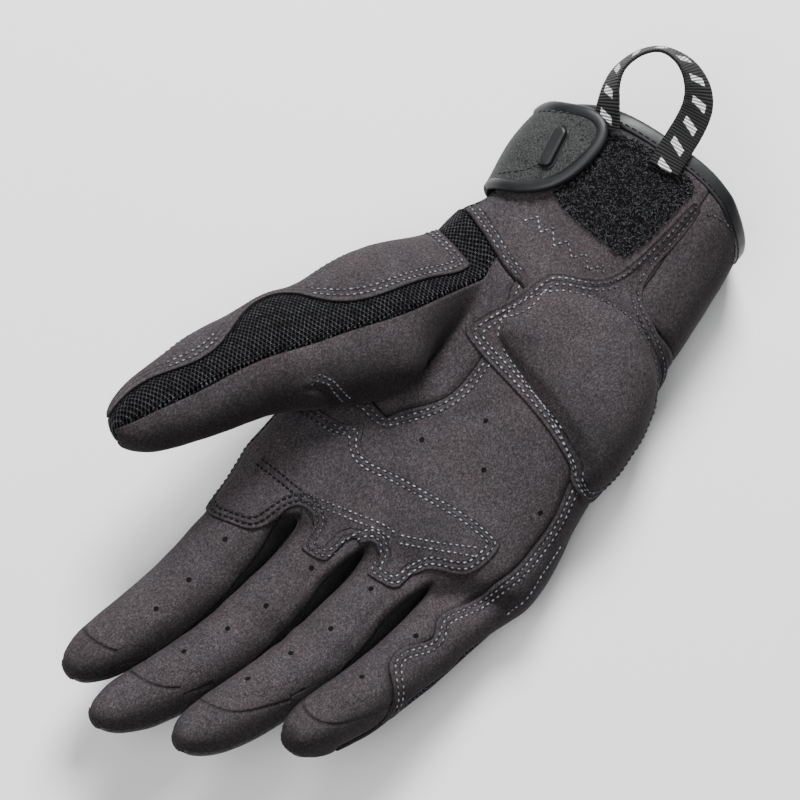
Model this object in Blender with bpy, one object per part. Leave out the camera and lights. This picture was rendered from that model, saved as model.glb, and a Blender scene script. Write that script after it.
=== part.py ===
"""A right-hand motorcycle glove lying on its back, palm up, filled out as if a hand had just left it.

The glove's outside is one net of points: rings round the palm and cuff, rings along each finger, and
rings along the thumb, which grow out of a gap in the palm's net. Every seam of the glove runs along
edges of that net, so each cut piece is a set of its faces, given the leather's thickness inward.
Patches that are sewn on top are cut out of a layer that follows the same net a little further out.
Palm up is +Z, the fingers point to -Y, the thumb is on the -X side. Sizes are in metres.
"""

import math

import bmesh
import bpy
import numpy as np
from mathutils import Vector
from mathutils.bvhtree import BVHTree

# Sizes of the whole glove
PALM_WIDTH = 0.094
PALM_THICKNESS = 0.034
BODY_LENGTH = 0.152
FINGER_LENGTH = 0.096
FINGER_THICKNESS = 0.0205
THUMB_LENGTH = 0.090
THUMB_DEPTH = 0.034
THUMB_THICKNESS = 0.027

# Walls, layers and gaps
LEATHER = 0.0016
PATCH = 0.0012
LANDING = 0.0015
TAB = 0.0016
SEAM_GAP = 0.0004
LAYER_GAP = 0.0003
CROTCH_GAP = 0.0022         # how far the strips between the fingers stop short of the slits' ends
PAD_HEIGHT = 0.0045

# Trim
PIPING = 0.0034
TAB_EDGE = 0.0026
GRIP_LENGTH = 0.0120
GRIP_WIDTH = 0.0030
GRIP_HEIGHT = 0.0016
WEBBING_WIDTH = 0.0100
WEBBING = 0.0012

# Colours
SUEDE = (0.085, 0.075, 0.080)
SUEDE_PATCH = (0.075, 0.067, 0.071)
KNIT = (0.012, 0.012, 0.013)
STRETCH = (0.008, 0.008, 0.009)
FLEECE = (0.010, 0.010, 0.011)
WOVEN = (0.045, 0.052, 0.050)
RUBBER = (0.014, 0.014, 0.016)
WEAVE = (0.010, 0.010, 0.011)

# Rings round the palm and cuff. y is a share of BODY_LENGTH, left and right of PALM_WIDTH, top, bottom
# and dish of PALM_THICKNESS. slant, wrist and rim are how much the ring follows the line of the
# knuckles, of the wrist's seam and of the cuff's rounded edge. thumb and side say where the seams of the
# thumb and of the side piece cross the ring, from -1 at the thumb's side to 1 at the little finger's.
PALM_COLUMNS = ("y", "left", "right", "top", "bottom", "dish", "slant", "wrist", "rim", "thumb", "side")
PALM = np.array([
    (-0.263, -0.380, 0.612, 0.80, -0.03, 0.00, 1.00, 0.00, 0.00, -0.23, 0.77),
    (-0.200, -0.385, 0.628, 0.89, -0.06, 0.03, 0.80, 0.00, 0.00, -0.26, 0.77),
    (-0.120, -0.393, 0.625, 0.93, -0.09, 0.06, 0.45, 0.00, 0.00, -0.34, 0.80),
    (-0.040, -0.403, 0.606, 0.94, -0.09, 0.10, 0.20, 0.00, 0.00, -0.42, 0.82),
    (0.046, -0.415, 0.569, 0.98, -0.09, 0.12, 0.00, 0.00, 0.00, -0.22, 0.85),
    (0.132, -0.436, 0.530, 1.03, -0.09, 0.12, 0.00, 0.00, 0.00, -0.14, 0.82),
    (0.217, -0.452, 0.512, 1.07, -0.09, 0.10, 0.00, 0.15, 0.00, -0.15, 0.80),
    (0.303, -0.457, 0.480, 1.09, -0.07, 0.06, 0.00, 0.50, 0.00, -0.20, 0.80),
    (0.382, -0.452, 0.428, 1.09, -0.06, 0.02, 0.00, 1.00, 0.10, -0.25, 0.76),
    (0.454, -0.415, 0.399, 1.12, -0.06, 0.00, 0.00, 0.40, 0.28, -0.25, 0.72),
    (0.522, -0.425, 0.378, 1.18, -0.06, 0.00, 0.00, 0.00, 0.46, -0.25, 0.72),
    (0.588, -0.448, 0.356, 1.24, -0.06, 0.00, 0.00, 0.00, 0.64, -0.25, 0.72),
    (0.653, -0.460, 0.335, 1.28, -0.06, 0.00, 0.00, 0.00, 0.82, -0.25, 0.72),
    (0.716, -0.460, 0.306, 1.31, -0.06, 0.00, 0.00, 0.00, 1.00, -0.25, 0.72),
])
ACROSS = 16                 # faces across the palm, four to a finger
LAST_ACROSS = 0.93          # how near the palm's edge the outermost of them ends
SQUARENESS = 2.7            # 2 would make the rings ellipses
RIM_LEAN, RIM_BOW = 0.038, 0.062    # how far the cuff's edge leans and rounds, as shares of BODY_LENGTH
DISH_AT, DISH_WIDTH = -0.15, 0.40

# The line of the finger roots, one row for each edge of a finger: across from -1 to 1, and y as a share
# of BODY_LENGTH. wrist is how far the wrist's seam lies from its ring there.
KNUCKLE_COLUMNS = ("across", "y", "wrist")
KNUCKLES = np.array([
    (-0.930, -0.270, -0.007), (-0.405, -0.308, -0.053), (0.040, -0.260, -0.068), (0.500, -0.220, -0.040),
    (0.930, -0.160, 0.000),
])

# Fingers. x, y and z are the root's centre as shares of PALM_WIDTH, BODY_LENGTH and PALM_THICKNESS,
# length is a share of FINGER_LENGTH, width and tip of PALM_WIDTH. The turns are in degrees: turn_0
# and turn_1 toward the thumb at root and tip, climb_0 and climb_1 up off the floor.
FINGER_COLUMNS = ("x", "y", "z", "length", "width", "tip", "turn_0", "turn_1", "climb_0", "climb_1")
FINGERS = {
    "index": (-0.230, -0.263, 0.46, 0.95, 0.275, 0.204, -9.5, 15.0, 0.0, 24.0),
    "middle": (0.030, -0.270, 0.475, 1.00, 0.230, 0.203, -6.0, 22.0, 0.0, 28.0),
    "ring": (0.260, -0.237, 0.49, 0.93, 0.230, 0.200, -4.0, 19.0, 3.0, 32.0),
    "little": (0.484, -0.197, 0.50, 0.76, 0.226, 0.192, -3.0, 18.0, 8.0, 36.0),
}
# Rings along a finger: where, as a share of its length, how full, and where the little finger's
# seam crosses it, in degrees round from the little finger's outer side.
STATION_COLUMNS = ("at", "full", "seam")
STATIONS = np.array([
    (0.140, 1.00, 104), (0.230, 1.00, 86), (0.340, 1.00, 106), (0.460, 0.99, 104), (0.520, 0.99, 60),
    (0.580, 0.99, 16), (0.700, 0.98, 2), (0.800, 0.94, 0), (0.880, 0.85, 0), (0.945, 0.66, 0), (0.985, 0.36, 0),
])
# Where the twelve points of a finger's ring lie, in degrees from its little-finger side, palm side up.
RING_ANGLES = np.array([164, 131, 90, 49, 16, -12, -40, -65, -90, -115, -140, -168.0])
BEND = 1.3                  # above 1, a finger bends more toward its tip

# Rings along the thumb: x, y and z from THUMB_ROOT as shares of THUMB_LENGTH, deep from nail to pad as
# a share of THUMB_DEPTH, thick of THUMB_THICKNESS, and the degrees at which the seam of the pad and the
# edge of the patch cross the ring.
THUMB_ROOT = (-0.325, 0.079, 0.93)
THUMB_COLUMNS = ("x", "y", "z", "deep", "thick", "pad", "patch")
THUMB = np.array([
    (0.000, 0.000, 0.000, 1.45, 1.38, 84, 103),
    (-0.075, -0.150, 0.045, 1.24, 1.22, 82, 108),
    (-0.130, -0.270, 0.085, 1.10, 1.08, 80, 143),
    (-0.190, -0.390, 0.115, 0.99, 1.00, 78, 145),
    (-0.230, -0.520, 0.150, 0.91, 0.93, 77, 113),
    (-0.262, -0.650, 0.180, 0.82, 0.86, 76, 114),
    (-0.297, -0.770, 0.200, 0.70, 0.75, 77, 128),
    (-0.322, -0.855, 0.212, 0.54, 0.60, 77, 132),
    (-0.340, -0.905, 0.218, 0.32, 0.38, 77, 132),
])
THUMB_FIRST, THUMB_LAST, THUMB_ACROSS = 3, 7, 4    # the rings and faces of the palm that it grows from
THUMB_SEAM = 6              # faces across the palm to the thumb's seam
MESH_ENDS = (-0.59, -0.46)  # where the thumb's mesh meets the wrist, from -1 to 1 across the ring

# Where the web between the thumb and the palm runs straight: which points of the thumb's rings, by how
# much, and how far along each of the first rings lies.
WEB_POINTS, WEB_SHARES = (4, 5, 6, 7, 11, 12, 13), (0.0, 0.3, 0.7, 1.0, 1.0, 0.4, 0.0)
WEB_RISE = (0.22, 0.45, 0.72)

# Outlines of what is sewn on top, as x, y and z shares of PALM_WIDTH, BODY_LENGTH and PALM_THICKNESS
KNUCKLE_PATCH = np.array([
    (-0.420, -0.205, 0.75), (-0.420, -0.300, 0.65), (-0.420, -0.396, 0.60), (-0.318, -0.426, 0.57),
    (-0.294, -0.433, 0.65), (-0.230, -0.418, 0.74), (-0.146, -0.394, 0.70), (-0.130, -0.322, 0.65),
    (-0.108, -0.294, 0.81), (-0.079, -0.288, 0.83), (-0.044, -0.288, 0.83), (-0.017, -0.341, 0.70),
    (-0.002, -0.354, 0.71), (0.067, -0.343, 0.72), (0.094, -0.328, 0.70), (0.108, -0.296, 0.70),
    (0.128, -0.247, 0.84), (0.164, -0.237, 0.85), (0.183, -0.280, 0.76), (0.190, -0.297, 0.72),
    (0.252, -0.291, 0.78), (0.303, -0.280, 0.75), (0.312, -0.250, 0.76), (0.323, -0.210, 0.84),
    (0.345, -0.196, 0.85), (0.389, -0.181, 0.84), (0.440, -0.155, 0.84), (0.450, -0.106, 0.85),
    (0.443, -0.070, 0.86), (0.412, -0.062, 0.88), (0.296, -0.068, 0.91), (0.155, -0.091, 0.88),
    (0.030, -0.111, 0.86), (-0.040, -0.130, 0.87), (-0.088, -0.133, 0.87), (-0.116, -0.116, 0.87),
    (-0.150, -0.078, 0.86), (-0.175, -0.120, 0.86), (-0.330, -0.135, 0.83), (-0.420, -0.145, 0.70),
])
HEEL_PATCH = np.array([
    (-0.126, 0.176, 0.95), (-0.137, 0.202, 0.97), (-0.123, 0.250, 1.00), (-0.099, 0.291, 1.02),
    (-0.094, 0.330, 1.04), (-0.087, 0.368, 1.06), (-0.071, 0.386, 1.07), (-0.033, 0.405, 1.09),
    (0.024, 0.425, 1.10), (0.061, 0.444, 1.11), (0.080, 0.466, 1.12), (0.093, 0.500, 1.14),
    (0.099, 0.592, 1.21), (0.090, 0.683, 1.26), (0.145, 0.685, 1.24), (0.161, 0.606, 1.19),
    (0.163, 0.537, 1.15), (0.178, 0.495, 1.12), (0.206, 0.469, 1.08), (0.269, 0.456, 1.02),
    (0.349, 0.442, 0.89), (0.401, 0.422, 0.62), (0.440, 0.370, 0.40), (0.490, 0.270, 0.38),
    (0.520, 0.175, 0.38), (0.525, 0.130, 0.48), (0.500, 0.108, 0.65), (0.450, 0.112, 0.86),
    (0.421, 0.135, 0.90), (0.360, 0.144, 0.96), (0.248, 0.158, 1.00), (0.053, 0.168, 0.96),
])
PAD_CENTRE, PAD_SPREAD = (0.235, 0.290), (0.250, 0.150)
LANDING_OUTLINE = np.array([
    (-0.300, 0.590, 1.23), (-0.260, 0.510, 1.17), (-0.188, 0.488, 1.14), (-0.022, 0.496, 1.15),
    (0.072, 0.500, 1.15), (0.085, 0.536, 1.17), (0.088, 0.592, 1.21), (0.075, 0.675, 1.26),
    (0.050, 0.690, 1.27), (-0.007, 0.694, 1.29), (-0.110, 0.682, 1.29), (-0.191, 0.655, 1.27),
    (-0.270, 0.635, 1.26),
])
TAB_OUTLINE = np.array([
    (-0.440, 0.404, 0.30), (-0.440, 0.410, 0.80), (-0.388, 0.425, 1.05), (-0.309, 0.462, 1.17),
    (-0.262, 0.502, 1.20), (-0.240, 0.559, 1.22), (-0.245, 0.610, 1.24), (-0.268, 0.640, 1.25),
    (-0.310, 0.650, 1.24), (-0.410, 0.625, 1.13), (-0.455, 0.610, 0.75), (-0.460, 0.600, 0.25),
    (-0.450, 0.500, 0.22),
])
TAB_FREE = (1, 8)           # the first and last of its points that the rubber edge runs past
GRIP_AT, GRIP_TURN = (-0.335, 0.565), 15.0

# The pull loop's middle line, and how far its width has turned from upright to flat, in degrees
LOOP_COLUMNS = ("x", "y", "z", "turn")
LOOP = np.array([
    (-0.302, 0.689, 1.46, 40), (-0.339, 0.720, 1.46, 28), (-0.363, 0.757, 1.45, 22),
    (-0.359, 0.803, 1.44, 22), (-0.328, 0.843, 1.43, 24), (-0.280, 0.861, 1.42, 30),
    (-0.213, 0.865, 1.41, 42), (-0.148, 0.850, 1.40, 56), (-0.100, 0.823, 1.39, 68),
    (-0.073, 0.784, 1.39, 78), (-0.055, 0.739, 1.39, 86), (-0.043, 0.703, 1.39, 90),
    (-0.030, 0.676, 1.38, 90),
])

SIDES = 8                   # sides of the piping and of the tab's edge
PALM_UP = Vector((0.0, 0.0, 1.0))
TOWARD_THUMB = Vector((-math.sin(math.radians(35)), 0.0, math.cos(math.radians(35))))
TOWARD_LITTLE = Vector((math.sin(math.radians(35)), 0.0, math.cos(math.radians(35))))
MITRE_LIMIT = 0.7           # keeps sharp corners of a piece from being drawn in too far
REACH = 0.2                 # longer than anything that a cutter goes through


def column(table, columns, name):
    return table[..., columns.index(name)]


def in_metres(points):
    """Points given as shares of the palm's width, length and thickness, in metres."""
    sizes = (PALM_WIDTH, BODY_LENGTH, PALM_THICKNESS)
    return np.asarray(points, float) * sizes[: np.shape(points)[-1]]


def palm_rings():
    """Rings round the palm and cuff, 36 points each: across the palm, the outer side, back across
    the back of the hand, and the thumb's side."""
    take = {name: column(PALM, PALM_COLUMNS, name)[:, None] for name in PALM_COLUMNS}
    steps = np.arange(ACROSS + 1)
    across = np.stack([
        np.interp(steps, (0, THUMB_SEAM, ACROSS - 1, ACROSS), (-LAST_ACROSS, thumb, side, LAST_ACROSS))
        for thumb, side in zip(take["thumb"][:, 0], take["side"][:, 0])
    ])
    across[THUMB_LAST, :THUMB_SEAM] = np.interp(
        steps[:THUMB_SEAM], (0, 2, THUMB_ACROSS, THUMB_SEAM), (-LAST_ACROSS, *MESH_ENDS, PALM[THUMB_LAST, -2])
    )
    knuckles = {name: column(KNUCKLES, KNUCKLE_COLUMNS, name) for name in KNUCKLE_COLUMNS}
    roots = np.interp(steps, np.linspace(0, ACROSS, len(KNUCKLES)), knuckles["across"])
    across[0] = np.where(steps < ACROSS - 1, roots, across[0])
    below = np.tile(roots, (len(PALM), 1))
    middle = (take["left"] + take["right"]) / 2 * PALM_WIDTH
    half_width = (take["right"] - take["left"]) / 2 * PALM_WIDTH
    level = (take["top"] + take["bottom"]) / 2 * PALM_THICKNESS
    half_height = (take["top"] - take["bottom"]) / 2 * PALM_THICKNESS

    def points(share, sign):
        share = np.asarray(share, float) * np.ones((len(PALM), 1))
        rise = (1 - np.abs(share) ** SQUARENESS) ** (1 / SQUARENESS)
        y = take["y"] + take["slant"] * (np.interp(share, knuckles["across"], knuckles["y"]) - PALM[0, 0])
        y = y + take["wrist"] * np.interp(share, knuckles["across"], knuckles["wrist"])
        y = (y + take["rim"] * (RIM_LEAN * share - RIM_BOW * np.abs(share) ** 3)) * BODY_LENGTH
        dish = take["dish"] * PALM_THICKNESS * np.exp(-(((share - DISH_AT) / DISH_WIDTH) ** 2))
        z = level + sign * half_height * rise - (dish if sign > 0 else 0)
        return np.stack([middle + half_width * share, y, z], axis=2)

    rings = [points(across, 1), points([[1.0]], 1), points(below, -1)[:, ::-1], points([[-1.0]], 1)]
    return np.concatenate(rings, axis=1)


def finger_rings(name):
    """Rings along a finger, 12 points each, on a middle line that turns and climbs steadily."""
    row = dict(zip(FINGER_COLUMNS, FINGERS[name]))
    steps = np.linspace(0, 1, 201)
    eased = steps**BEND
    turn = np.radians(row["turn_0"] + (row["turn_1"] - row["turn_0"]) * eased)
    climb = np.radians(row["climb_0"] + (row["climb_1"] - row["climb_0"]) * eased)
    heading = np.stack([-np.sin(turn) * np.cos(climb), -np.cos(turn) * np.cos(climb), np.sin(climb)], 1)
    step = row["length"] * FINGER_LENGTH / (len(steps) - 1)
    line = in_metres((row["x"], row["y"], row["z"])) + np.cumsum(heading, axis=0) * step
    rings = []
    for at, full, seam in STATIONS:
        centre = np.array([np.interp(at, steps, line[:, axis]) for axis in range(3)])
        ahead = np.array([np.interp(at, steps, heading[:, axis]) for axis in range(3)])
        side = np.cross((0, 0, 1), ahead)
        side /= -np.linalg.norm(side) * math.copysign(1, -side[0])
        up = np.cross(ahead, side)
        up *= math.copysign(1, up[2])
        degrees = RING_ANGLES.copy()
        if name == "little":
            degrees[:4] = np.linspace(RING_ANGLES[0], seam, 4)
            degrees[3:8] = np.linspace(seam, RING_ANGLES[7], 5)
        round_it = np.radians(degrees)[:, None]
        half_width = (row["width"] + (row["tip"] - row["width"]) * at) / 2 * PALM_WIDTH * full
        half_height = FINGER_THICKNESS / 2 * full
        rings.append(centre + half_width * np.cos(round_it) * side + half_height * np.sin(round_it) * up)
    return rings


def thumb_rings(count):
    """Rings along the thumb, with the points that its seams follow at their own angles."""
    root = in_metres(THUMB_ROOT)
    line = root + THUMB[:, :3] * THUMB_LENGTH
    rings = []
    for at, row in enumerate(THUMB):
        take = dict(zip(THUMB_COLUMNS, row))
        ahead = line[min(at + 1, len(line) - 1)] - line[max(at - 1, 0)]
        side = np.cross(ahead, (0, 0, 1))
        side /= np.linalg.norm(side) * math.copysign(1, side[0])
        up = np.cross(side, ahead / np.linalg.norm(ahead))
        up *= math.copysign(1, up[2])
        whole = (take["patch"], take["pad"], take["patch"] - 360)
        round_it = np.radians(np.interp(np.arange(count), (0, 2, count), whole))[:, None]
        across = take["deep"] * THUMB_DEPTH / 2 * np.cos(round_it) * side
        rings.append(line[at] + across + take["thick"] * THUMB_THICKNESS / 2 * np.sin(round_it) * up)
    return rings


class Net:
    """The glove's outside: points, faces, and the name of the piece that each face belongs to."""

    def __init__(self):
        self.points = np.empty((0, 3))
        self.faces = []
        self.owners = []
        self.tops = []
        self.crotches = {}

    def add(self, points):
        first = len(self.points)
        self.points = np.concatenate([self.points, points])
        return list(range(first, first + len(points)))

    def face(self, corners, owner, top=False):
        """One face, the name of its piece, and whether a layer sewn on top can lie on it."""
        self.faces.append(tuple(corners))
        self.owners.append(owner)
        self.tops.append(top)

    def tube(self, start, rings, owner_of, tops=()):
        """Faces from the loop of points called start through each ring, closed over the last one."""
        count = len(start)
        for points in rings:
            ring = self.add(points)
            for at in range(count):
                beside = (at + 1) % count
                corners = (start[at], start[beside], ring[beside], ring[at])
                self.face(corners, owner_of(at), top=at in tops)
            start = ring
        self.face(start, owner_of(None))


def palm_owner(row, at):
    """The piece that a face of the palm's rings belongs to: row counts from the knuckles, at goes
    across the palm from the thumb's side."""
    outer, last = ACROSS, 2 * ACROSS + 3
    if outer < at < last:
        return "back_panel"
    if at >= last:
        at = -1
    if row > THUMB_LAST:
        if at < 2:
            return "back_panel"
        if at >= 13 and row > THUMB_LAST + 1:
            return "cuff_side_panel"
        return "side_panel" if at >= ACROSS - 1 else "wrist_panel"
    if row == THUMB_LAST and at < THUMB_ACROSS:
        return "thumb_mesh"
    if row >= THUMB_FIRST and at < THUMB_SEAM:
        return "thumb_panel"
    return "side_panel" if at >= ACROSS - 1 else "palm_panel"


def finger_owner(finger, at):
    """The piece that a face of a finger belongs to: at goes round from the thumb's side of its front."""
    if at is None or 6 <= at <= 9:
        return "back_panel"
    if finger == 3 and at >= 3 and at < 6:
        return "side_panel" if at < 5 else "back_panel"
    if at < 4:
        return "palm_panel"
    if at < 6:
        return f"fourchette_{finger + 1}"
    return f"fourchette_{finger}" if finger else "index_side_strip"


def thumb_owner(at):
    """The piece that a face of the thumb belongs to: at goes round from the patch's edge."""
    if at is None or at < 2 or 11 <= at <= 13:
        return "thumb_mesh"
    return "thumb_panel" if at < 11 else "thumb_patch"


def glove_net():
    net = Net()
    rows = [net.add(ring) for ring in palm_rings()]
    around = len(rows[0])
    thumb_side = around - 1
    in_thumb = [thumb_side, *range(THUMB_ACROSS)]
    for row in range(len(rows) - 1):
        for at in range(around):
            if THUMB_FIRST <= row < THUMB_LAST and at in in_thumb:
                continue
            beside = (at + 1) % around
            corners = (rows[row][at], rows[row + 1][at], rows[row + 1][beside], rows[row][beside])
            net.face(corners, palm_owner(row, at), top=True)

    knuckles = rows[0]
    per_finger = ACROSS // 4
    back = [knuckles[2 * ACROSS + 2 - step] for step in range(ACROSS + 1)]
    between = [knuckles[thumb_side]]
    for finger in range(1, 4):
        at = finger * per_finger
        between += net.add([(net.points[knuckles[at]] + net.points[back[at]]) / 2])
        net.crotches.update({knuckles[at]: between[-1], back[at]: between[-1]})
    between.append(knuckles[ACROSS + 1])
    for finger, name in enumerate(FINGERS):
        first = finger * per_finger
        front = knuckles[first : first + per_finger + 1]
        behind = back[first : first + per_finger + 1][::-1]
        start = [*front, between[finger + 1], *behind, between[finger]]
        rings = finger_rings(name)
        tops = (len(start) - 1, 0, 1, 2, 3) if name == "index" else (1, 2)
        net.tube(start, rings, lambda at, finger=finger: finger_owner(finger, at), tops)

    near, far = rows[THUMB_LAST], rows[THUMB_FIRST]
    inner = range(THUMB_LAST - 1, THUMB_FIRST, -1)
    start = near[2 : THUMB_ACROSS + 1] + [rows[row][THUMB_ACROSS] for row in inner]
    start += far[THUMB_ACROSS::-1] + [far[thumb_side]]
    start += [rows[row][thumb_side] for row in reversed(inner)] + [near[thumb_side], near[0], near[1]]
    rings = thumb_rings(len(start))
    rings.insert(0, (net.points[start] + rings[0]) / 2)
    web = np.interp(np.arange(len(start)), WEB_POINTS, WEB_SHARES)[:, None]
    for at, share in enumerate(WEB_RISE):
        straight = net.points[start] + share * (rings[len(WEB_RISE)] - net.points[start])
        rings[at] += web * (straight - rings[at])
    net.tube(start, rings, thumb_owner)
    net.points[:, 2] = np.maximum(net.points[:, 2], 0.0)
    return net


def new_material(name, colour, roughness, metallic=0.0):
    material = bpy.data.materials.new(name)
    material.use_nodes = True
    shader = material.node_tree.nodes["Principled BSDF"]
    shader.inputs["Base Color"].default_value = (*colour, 1.0)
    shader.inputs["Roughness"].default_value = roughness
    shader.inputs["Metallic"].default_value = metallic
    return material


def new_object(name, points, faces, colour, roughness=0.9):
    """A closed mesh with its faces pointing out."""
    mesh = bpy.data.meshes.new(name)
    mesh.from_pydata([tuple(point) for point in points], [], faces)
    work = bmesh.new()
    work.from_mesh(mesh)
    bmesh.ops.delete(work, geom=[vert for vert in work.verts if not vert.link_faces], context="VERTS")
    bmesh.ops.recalc_face_normals(work, faces=work.faces)
    work.to_mesh(mesh)
    work.free()
    mesh.materials.append(new_material(name, colour, roughness))
    obj = bpy.data.objects.new(name, mesh)
    bpy.context.collection.objects.link(obj)
    return obj


def outward(net):
    """The outward direction at each point of the net, long enough to keep a wall's thickness."""
    mesh = bpy.data.meshes.new("net")
    mesh.from_pydata([tuple(point) for point in net.points], [], net.faces)
    work = bmesh.new()
    work.from_mesh(mesh)
    bmesh.ops.recalc_face_normals(work, faces=work.faces)
    work.normal_update()
    work.verts.ensure_lookup_table()
    normals = np.array([vert.normal * min(vert.calc_shell_factor(), 1.4) for vert in work.verts])
    work.faces.ensure_lookup_table()
    facing = np.array([face.normal for face in work.faces])
    work.free()
    bpy.data.meshes.remove(mesh)
    return normals, facing


def split(net, face):
    """A twisted four-sided face as two triangles, the same two in every layer that follows it."""
    if len(face) != 4:
        return [face]
    a, b, c, d = face
    one, other = net.points[c] - net.points[a], net.points[d] - net.points[b]
    return [(a, b, c), (a, c, d)] if one @ one <= other @ other else [(a, b, d), (b, c, d)]


def shell(net, faces, low, high, inset=0.0):
    """The closed solid between two offsets of some faces of the net, its edge drawn in by inset."""
    used = sorted({corner for face in faces for corner in face})
    place = {corner: at for at, corner in enumerate(used)}
    edges = {}
    for face in faces:
        for edge in zip(face, (*face[1:], face[0])):
            edges[edge] = face
    border = [edge for edge in edges if edge[::-1] not in edges]
    points = net.points[used].copy()
    normals = net.normals[used]
    if inset:
        inward = np.zeros_like(points)
        for edge in border:
            first, second = net.points[list(edge)]
            along = (second - first) / np.linalg.norm(second - first)
            way = net.points[list(edges[edge])].mean(axis=0) - first
            way -= (way @ along) * along
            for corner in edge:
                inward[place[corner]] += way / np.linalg.norm(way)
        size = (inward**2).sum(axis=1, keepdims=True)
        points += inset * 2 * inward / np.maximum(size, MITRE_LIMIT)
        for end, middle in net.crotches.items():
            if end in place and middle in place:
                down = net.points[middle] - net.points[end]
                points[place[end]] = net.points[end] + CROTCH_GAP * down / np.linalg.norm(down)
    count = len(used)
    both = np.concatenate([points + normals * np.reshape(high, (-1, 1)), points + normals * low])
    bent = [part for face in faces for part in split(net, face)]
    solid = [[place[corner] for corner in part] for part in bent]
    solid += [[place[corner] + count for corner in reversed(part)] for part in bent]
    for first, second in border:
        if first < second:
            solid.append([place[second], place[first], place[second] + count])
            solid.append([place[first], place[first] + count, place[second] + count])
        else:
            solid.append([place[second], place[first], place[first] + count])
            solid.append([place[second], place[first] + count, place[second] + count])
    return both, solid


def add_panel(net, name, colour, roughness=0.9):
    """One cut piece of the glove: its faces of the net, thickened inward."""
    faces = [face for face, owner in zip(net.faces, net.owners) if owner == name]
    points, solid = shell(net, faces, -LEATHER, 0.0, inset=SEAM_GAP / 2)
    return new_object(name, points, solid, colour, roughness)


def prism(name, outline, direction):
    """A hidden cutter: an outline carried both ways along a direction."""
    along = np.array(direction) * REACH
    count = len(outline)
    points = np.concatenate([outline - along, outline + along])
    faces = [list(range(count)), list(range(2 * count - 1, count - 1, -1))]
    for at in range(count):
        beside = (at + 1) % count
        faces.append([at, at + count, beside + count, beside])
    cutter = new_object(name, points, faces, SUEDE)
    cutter.hide_render = True
    cutter.display_type = "WIRE"
    return cutter


def add_layer(net, name, outline, direction, low, thickness, colour, swell=None):
    """A piece sewn on top: what an outline cuts from the layer low to low + thickness above the net."""
    centres = np.array([net.points[list(face)].mean(axis=0) for face in net.faces])
    edge = in_metres(outline)
    reach = (edge.max(axis=0) - edge.min(axis=0)) / 2 + PALM_WIDTH / ACROSS * 1.5
    near = (np.abs(centres - (edge.min(axis=0) + edge.max(axis=0)) / 2) < reach)[:, :2].all(axis=1)
    under = near & net.tops & (net.facing @ np.array(direction) > 0.0)
    faces = [face for face, wanted in zip(net.faces, under) if wanted]
    used = sorted({corner for face in faces for corner in face})
    high = np.full(len(used), low + thickness)
    if swell is not None:
        high += swell(net.points[used])
    points, solid = shell(net, faces, low, high)
    piece = new_object(name, points, solid, colour)
    cut = piece.modifiers.new("outline", "BOOLEAN")
    cut.operation = "INTERSECT"
    cut.use_self = True
    cut.object = prism(name + "_outline", edge, direction)
    return piece


def pad(points):
    """How far the padded heel stands up: a dome over PAD_CENTRE that ends level at its edge."""
    away = (points[:, :2] - in_metres(PAD_CENTRE)) / in_metres(PAD_SPREAD)
    return PAD_HEIGHT * np.clip(1 - (away**2).sum(axis=1), 0, 1) ** 0.75


def on_skin(net, points, direction, height):
    """Points moved along a direction onto the layer that lies height above the net, and the way out."""
    tree = BVHTree.FromPolygons([Vector(point) for point in net.points + net.normals * height], net.faces)
    found, ways = [], []
    for point in points:
        hit, normal, _, _ = tree.ray_cast(Vector(point) + direction * REACH, -direction)
        found.append(np.array(hit))
        ways.append(np.array(normal if normal.dot(direction) > 0 else -normal))
    return np.array(found), np.array(ways)


def add_tube(name, line, width, colour, roughness, closed):
    """A round cord of rubber along a line of points."""
    after, before = np.roll(line, -1, axis=0), np.roll(line, 1, axis=0)
    if not closed:
        after[-1], before[0] = line[-1], line[0]
    ahead = after - before
    ahead /= np.linalg.norm(ahead, axis=1, keepdims=True)
    first = np.cross(ahead, ahead.mean(axis=0) + np.array(PALM_UP) * 0.01 if not closed else (0.0, 1.0, 0.0))
    first /= np.linalg.norm(first, axis=1, keepdims=True)
    second = np.cross(ahead, first)
    angles = 2 * np.pi * (np.arange(SIDES) + 0.5) / SIDES
    ring = np.cos(angles)[:, None] * first[:, None] + np.sin(angles)[:, None] * second[:, None]
    points = (line[:, None] + ring * width / 2).reshape(-1, 3)
    faces = []
    for at in range(len(line) if closed else len(line) - 1):
        low, high = at * SIDES, (at + 1) % len(line) * SIDES
        faces += [(low + k, low + (k + 1) % SIDES, high + (k + 1) % SIDES, high + k) for k in range(SIDES)]
    if not closed:
        faces += [list(range(SIDES)), list(range(len(points) - SIDES, len(points)))]
    return new_object(name, points, faces, colour, roughness)


def smooth(points, times, closed):
    """Corners cut off a line of points, times over."""
    for _ in range(times):
        after = np.roll(points, -1, axis=0) if closed else points[1:]
        before = points if closed else points[:-1]
        cut = np.stack([0.75 * before + 0.25 * after, 0.25 * before + 0.75 * after], axis=1)
        cut = cut.reshape(-1, points.shape[1])
        points = cut if closed else np.concatenate([points[:1], cut, points[-1:]])
    return points


def add_cuff_binding(net):
    """Piping round the mouth of the cuff, just past the edge of the leather."""
    rim = palm_rings()[-1]
    rim[:, 2] = np.maximum(rim[:, 2], PIPING * 0.56)
    centre = rim.mean(axis=0)
    inward = centre - rim
    inward[:, 1] = 0.0
    inward /= np.linalg.norm(inward, axis=1, keepdims=True)
    ahead = np.roll(rim, -1, axis=0) - np.roll(rim, 1, axis=0)
    level = np.linalg.norm(ahead[:, [0, 2]], axis=1) / np.linalg.norm(ahead, axis=1)
    line = rim + inward * LEATHER / 2
    line[:, 1] += (PIPING / 2 + 2 * LAYER_GAP) / level
    add_tube("cuff_binding", line, PIPING, RUBBER, 0.45, closed=True)


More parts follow.
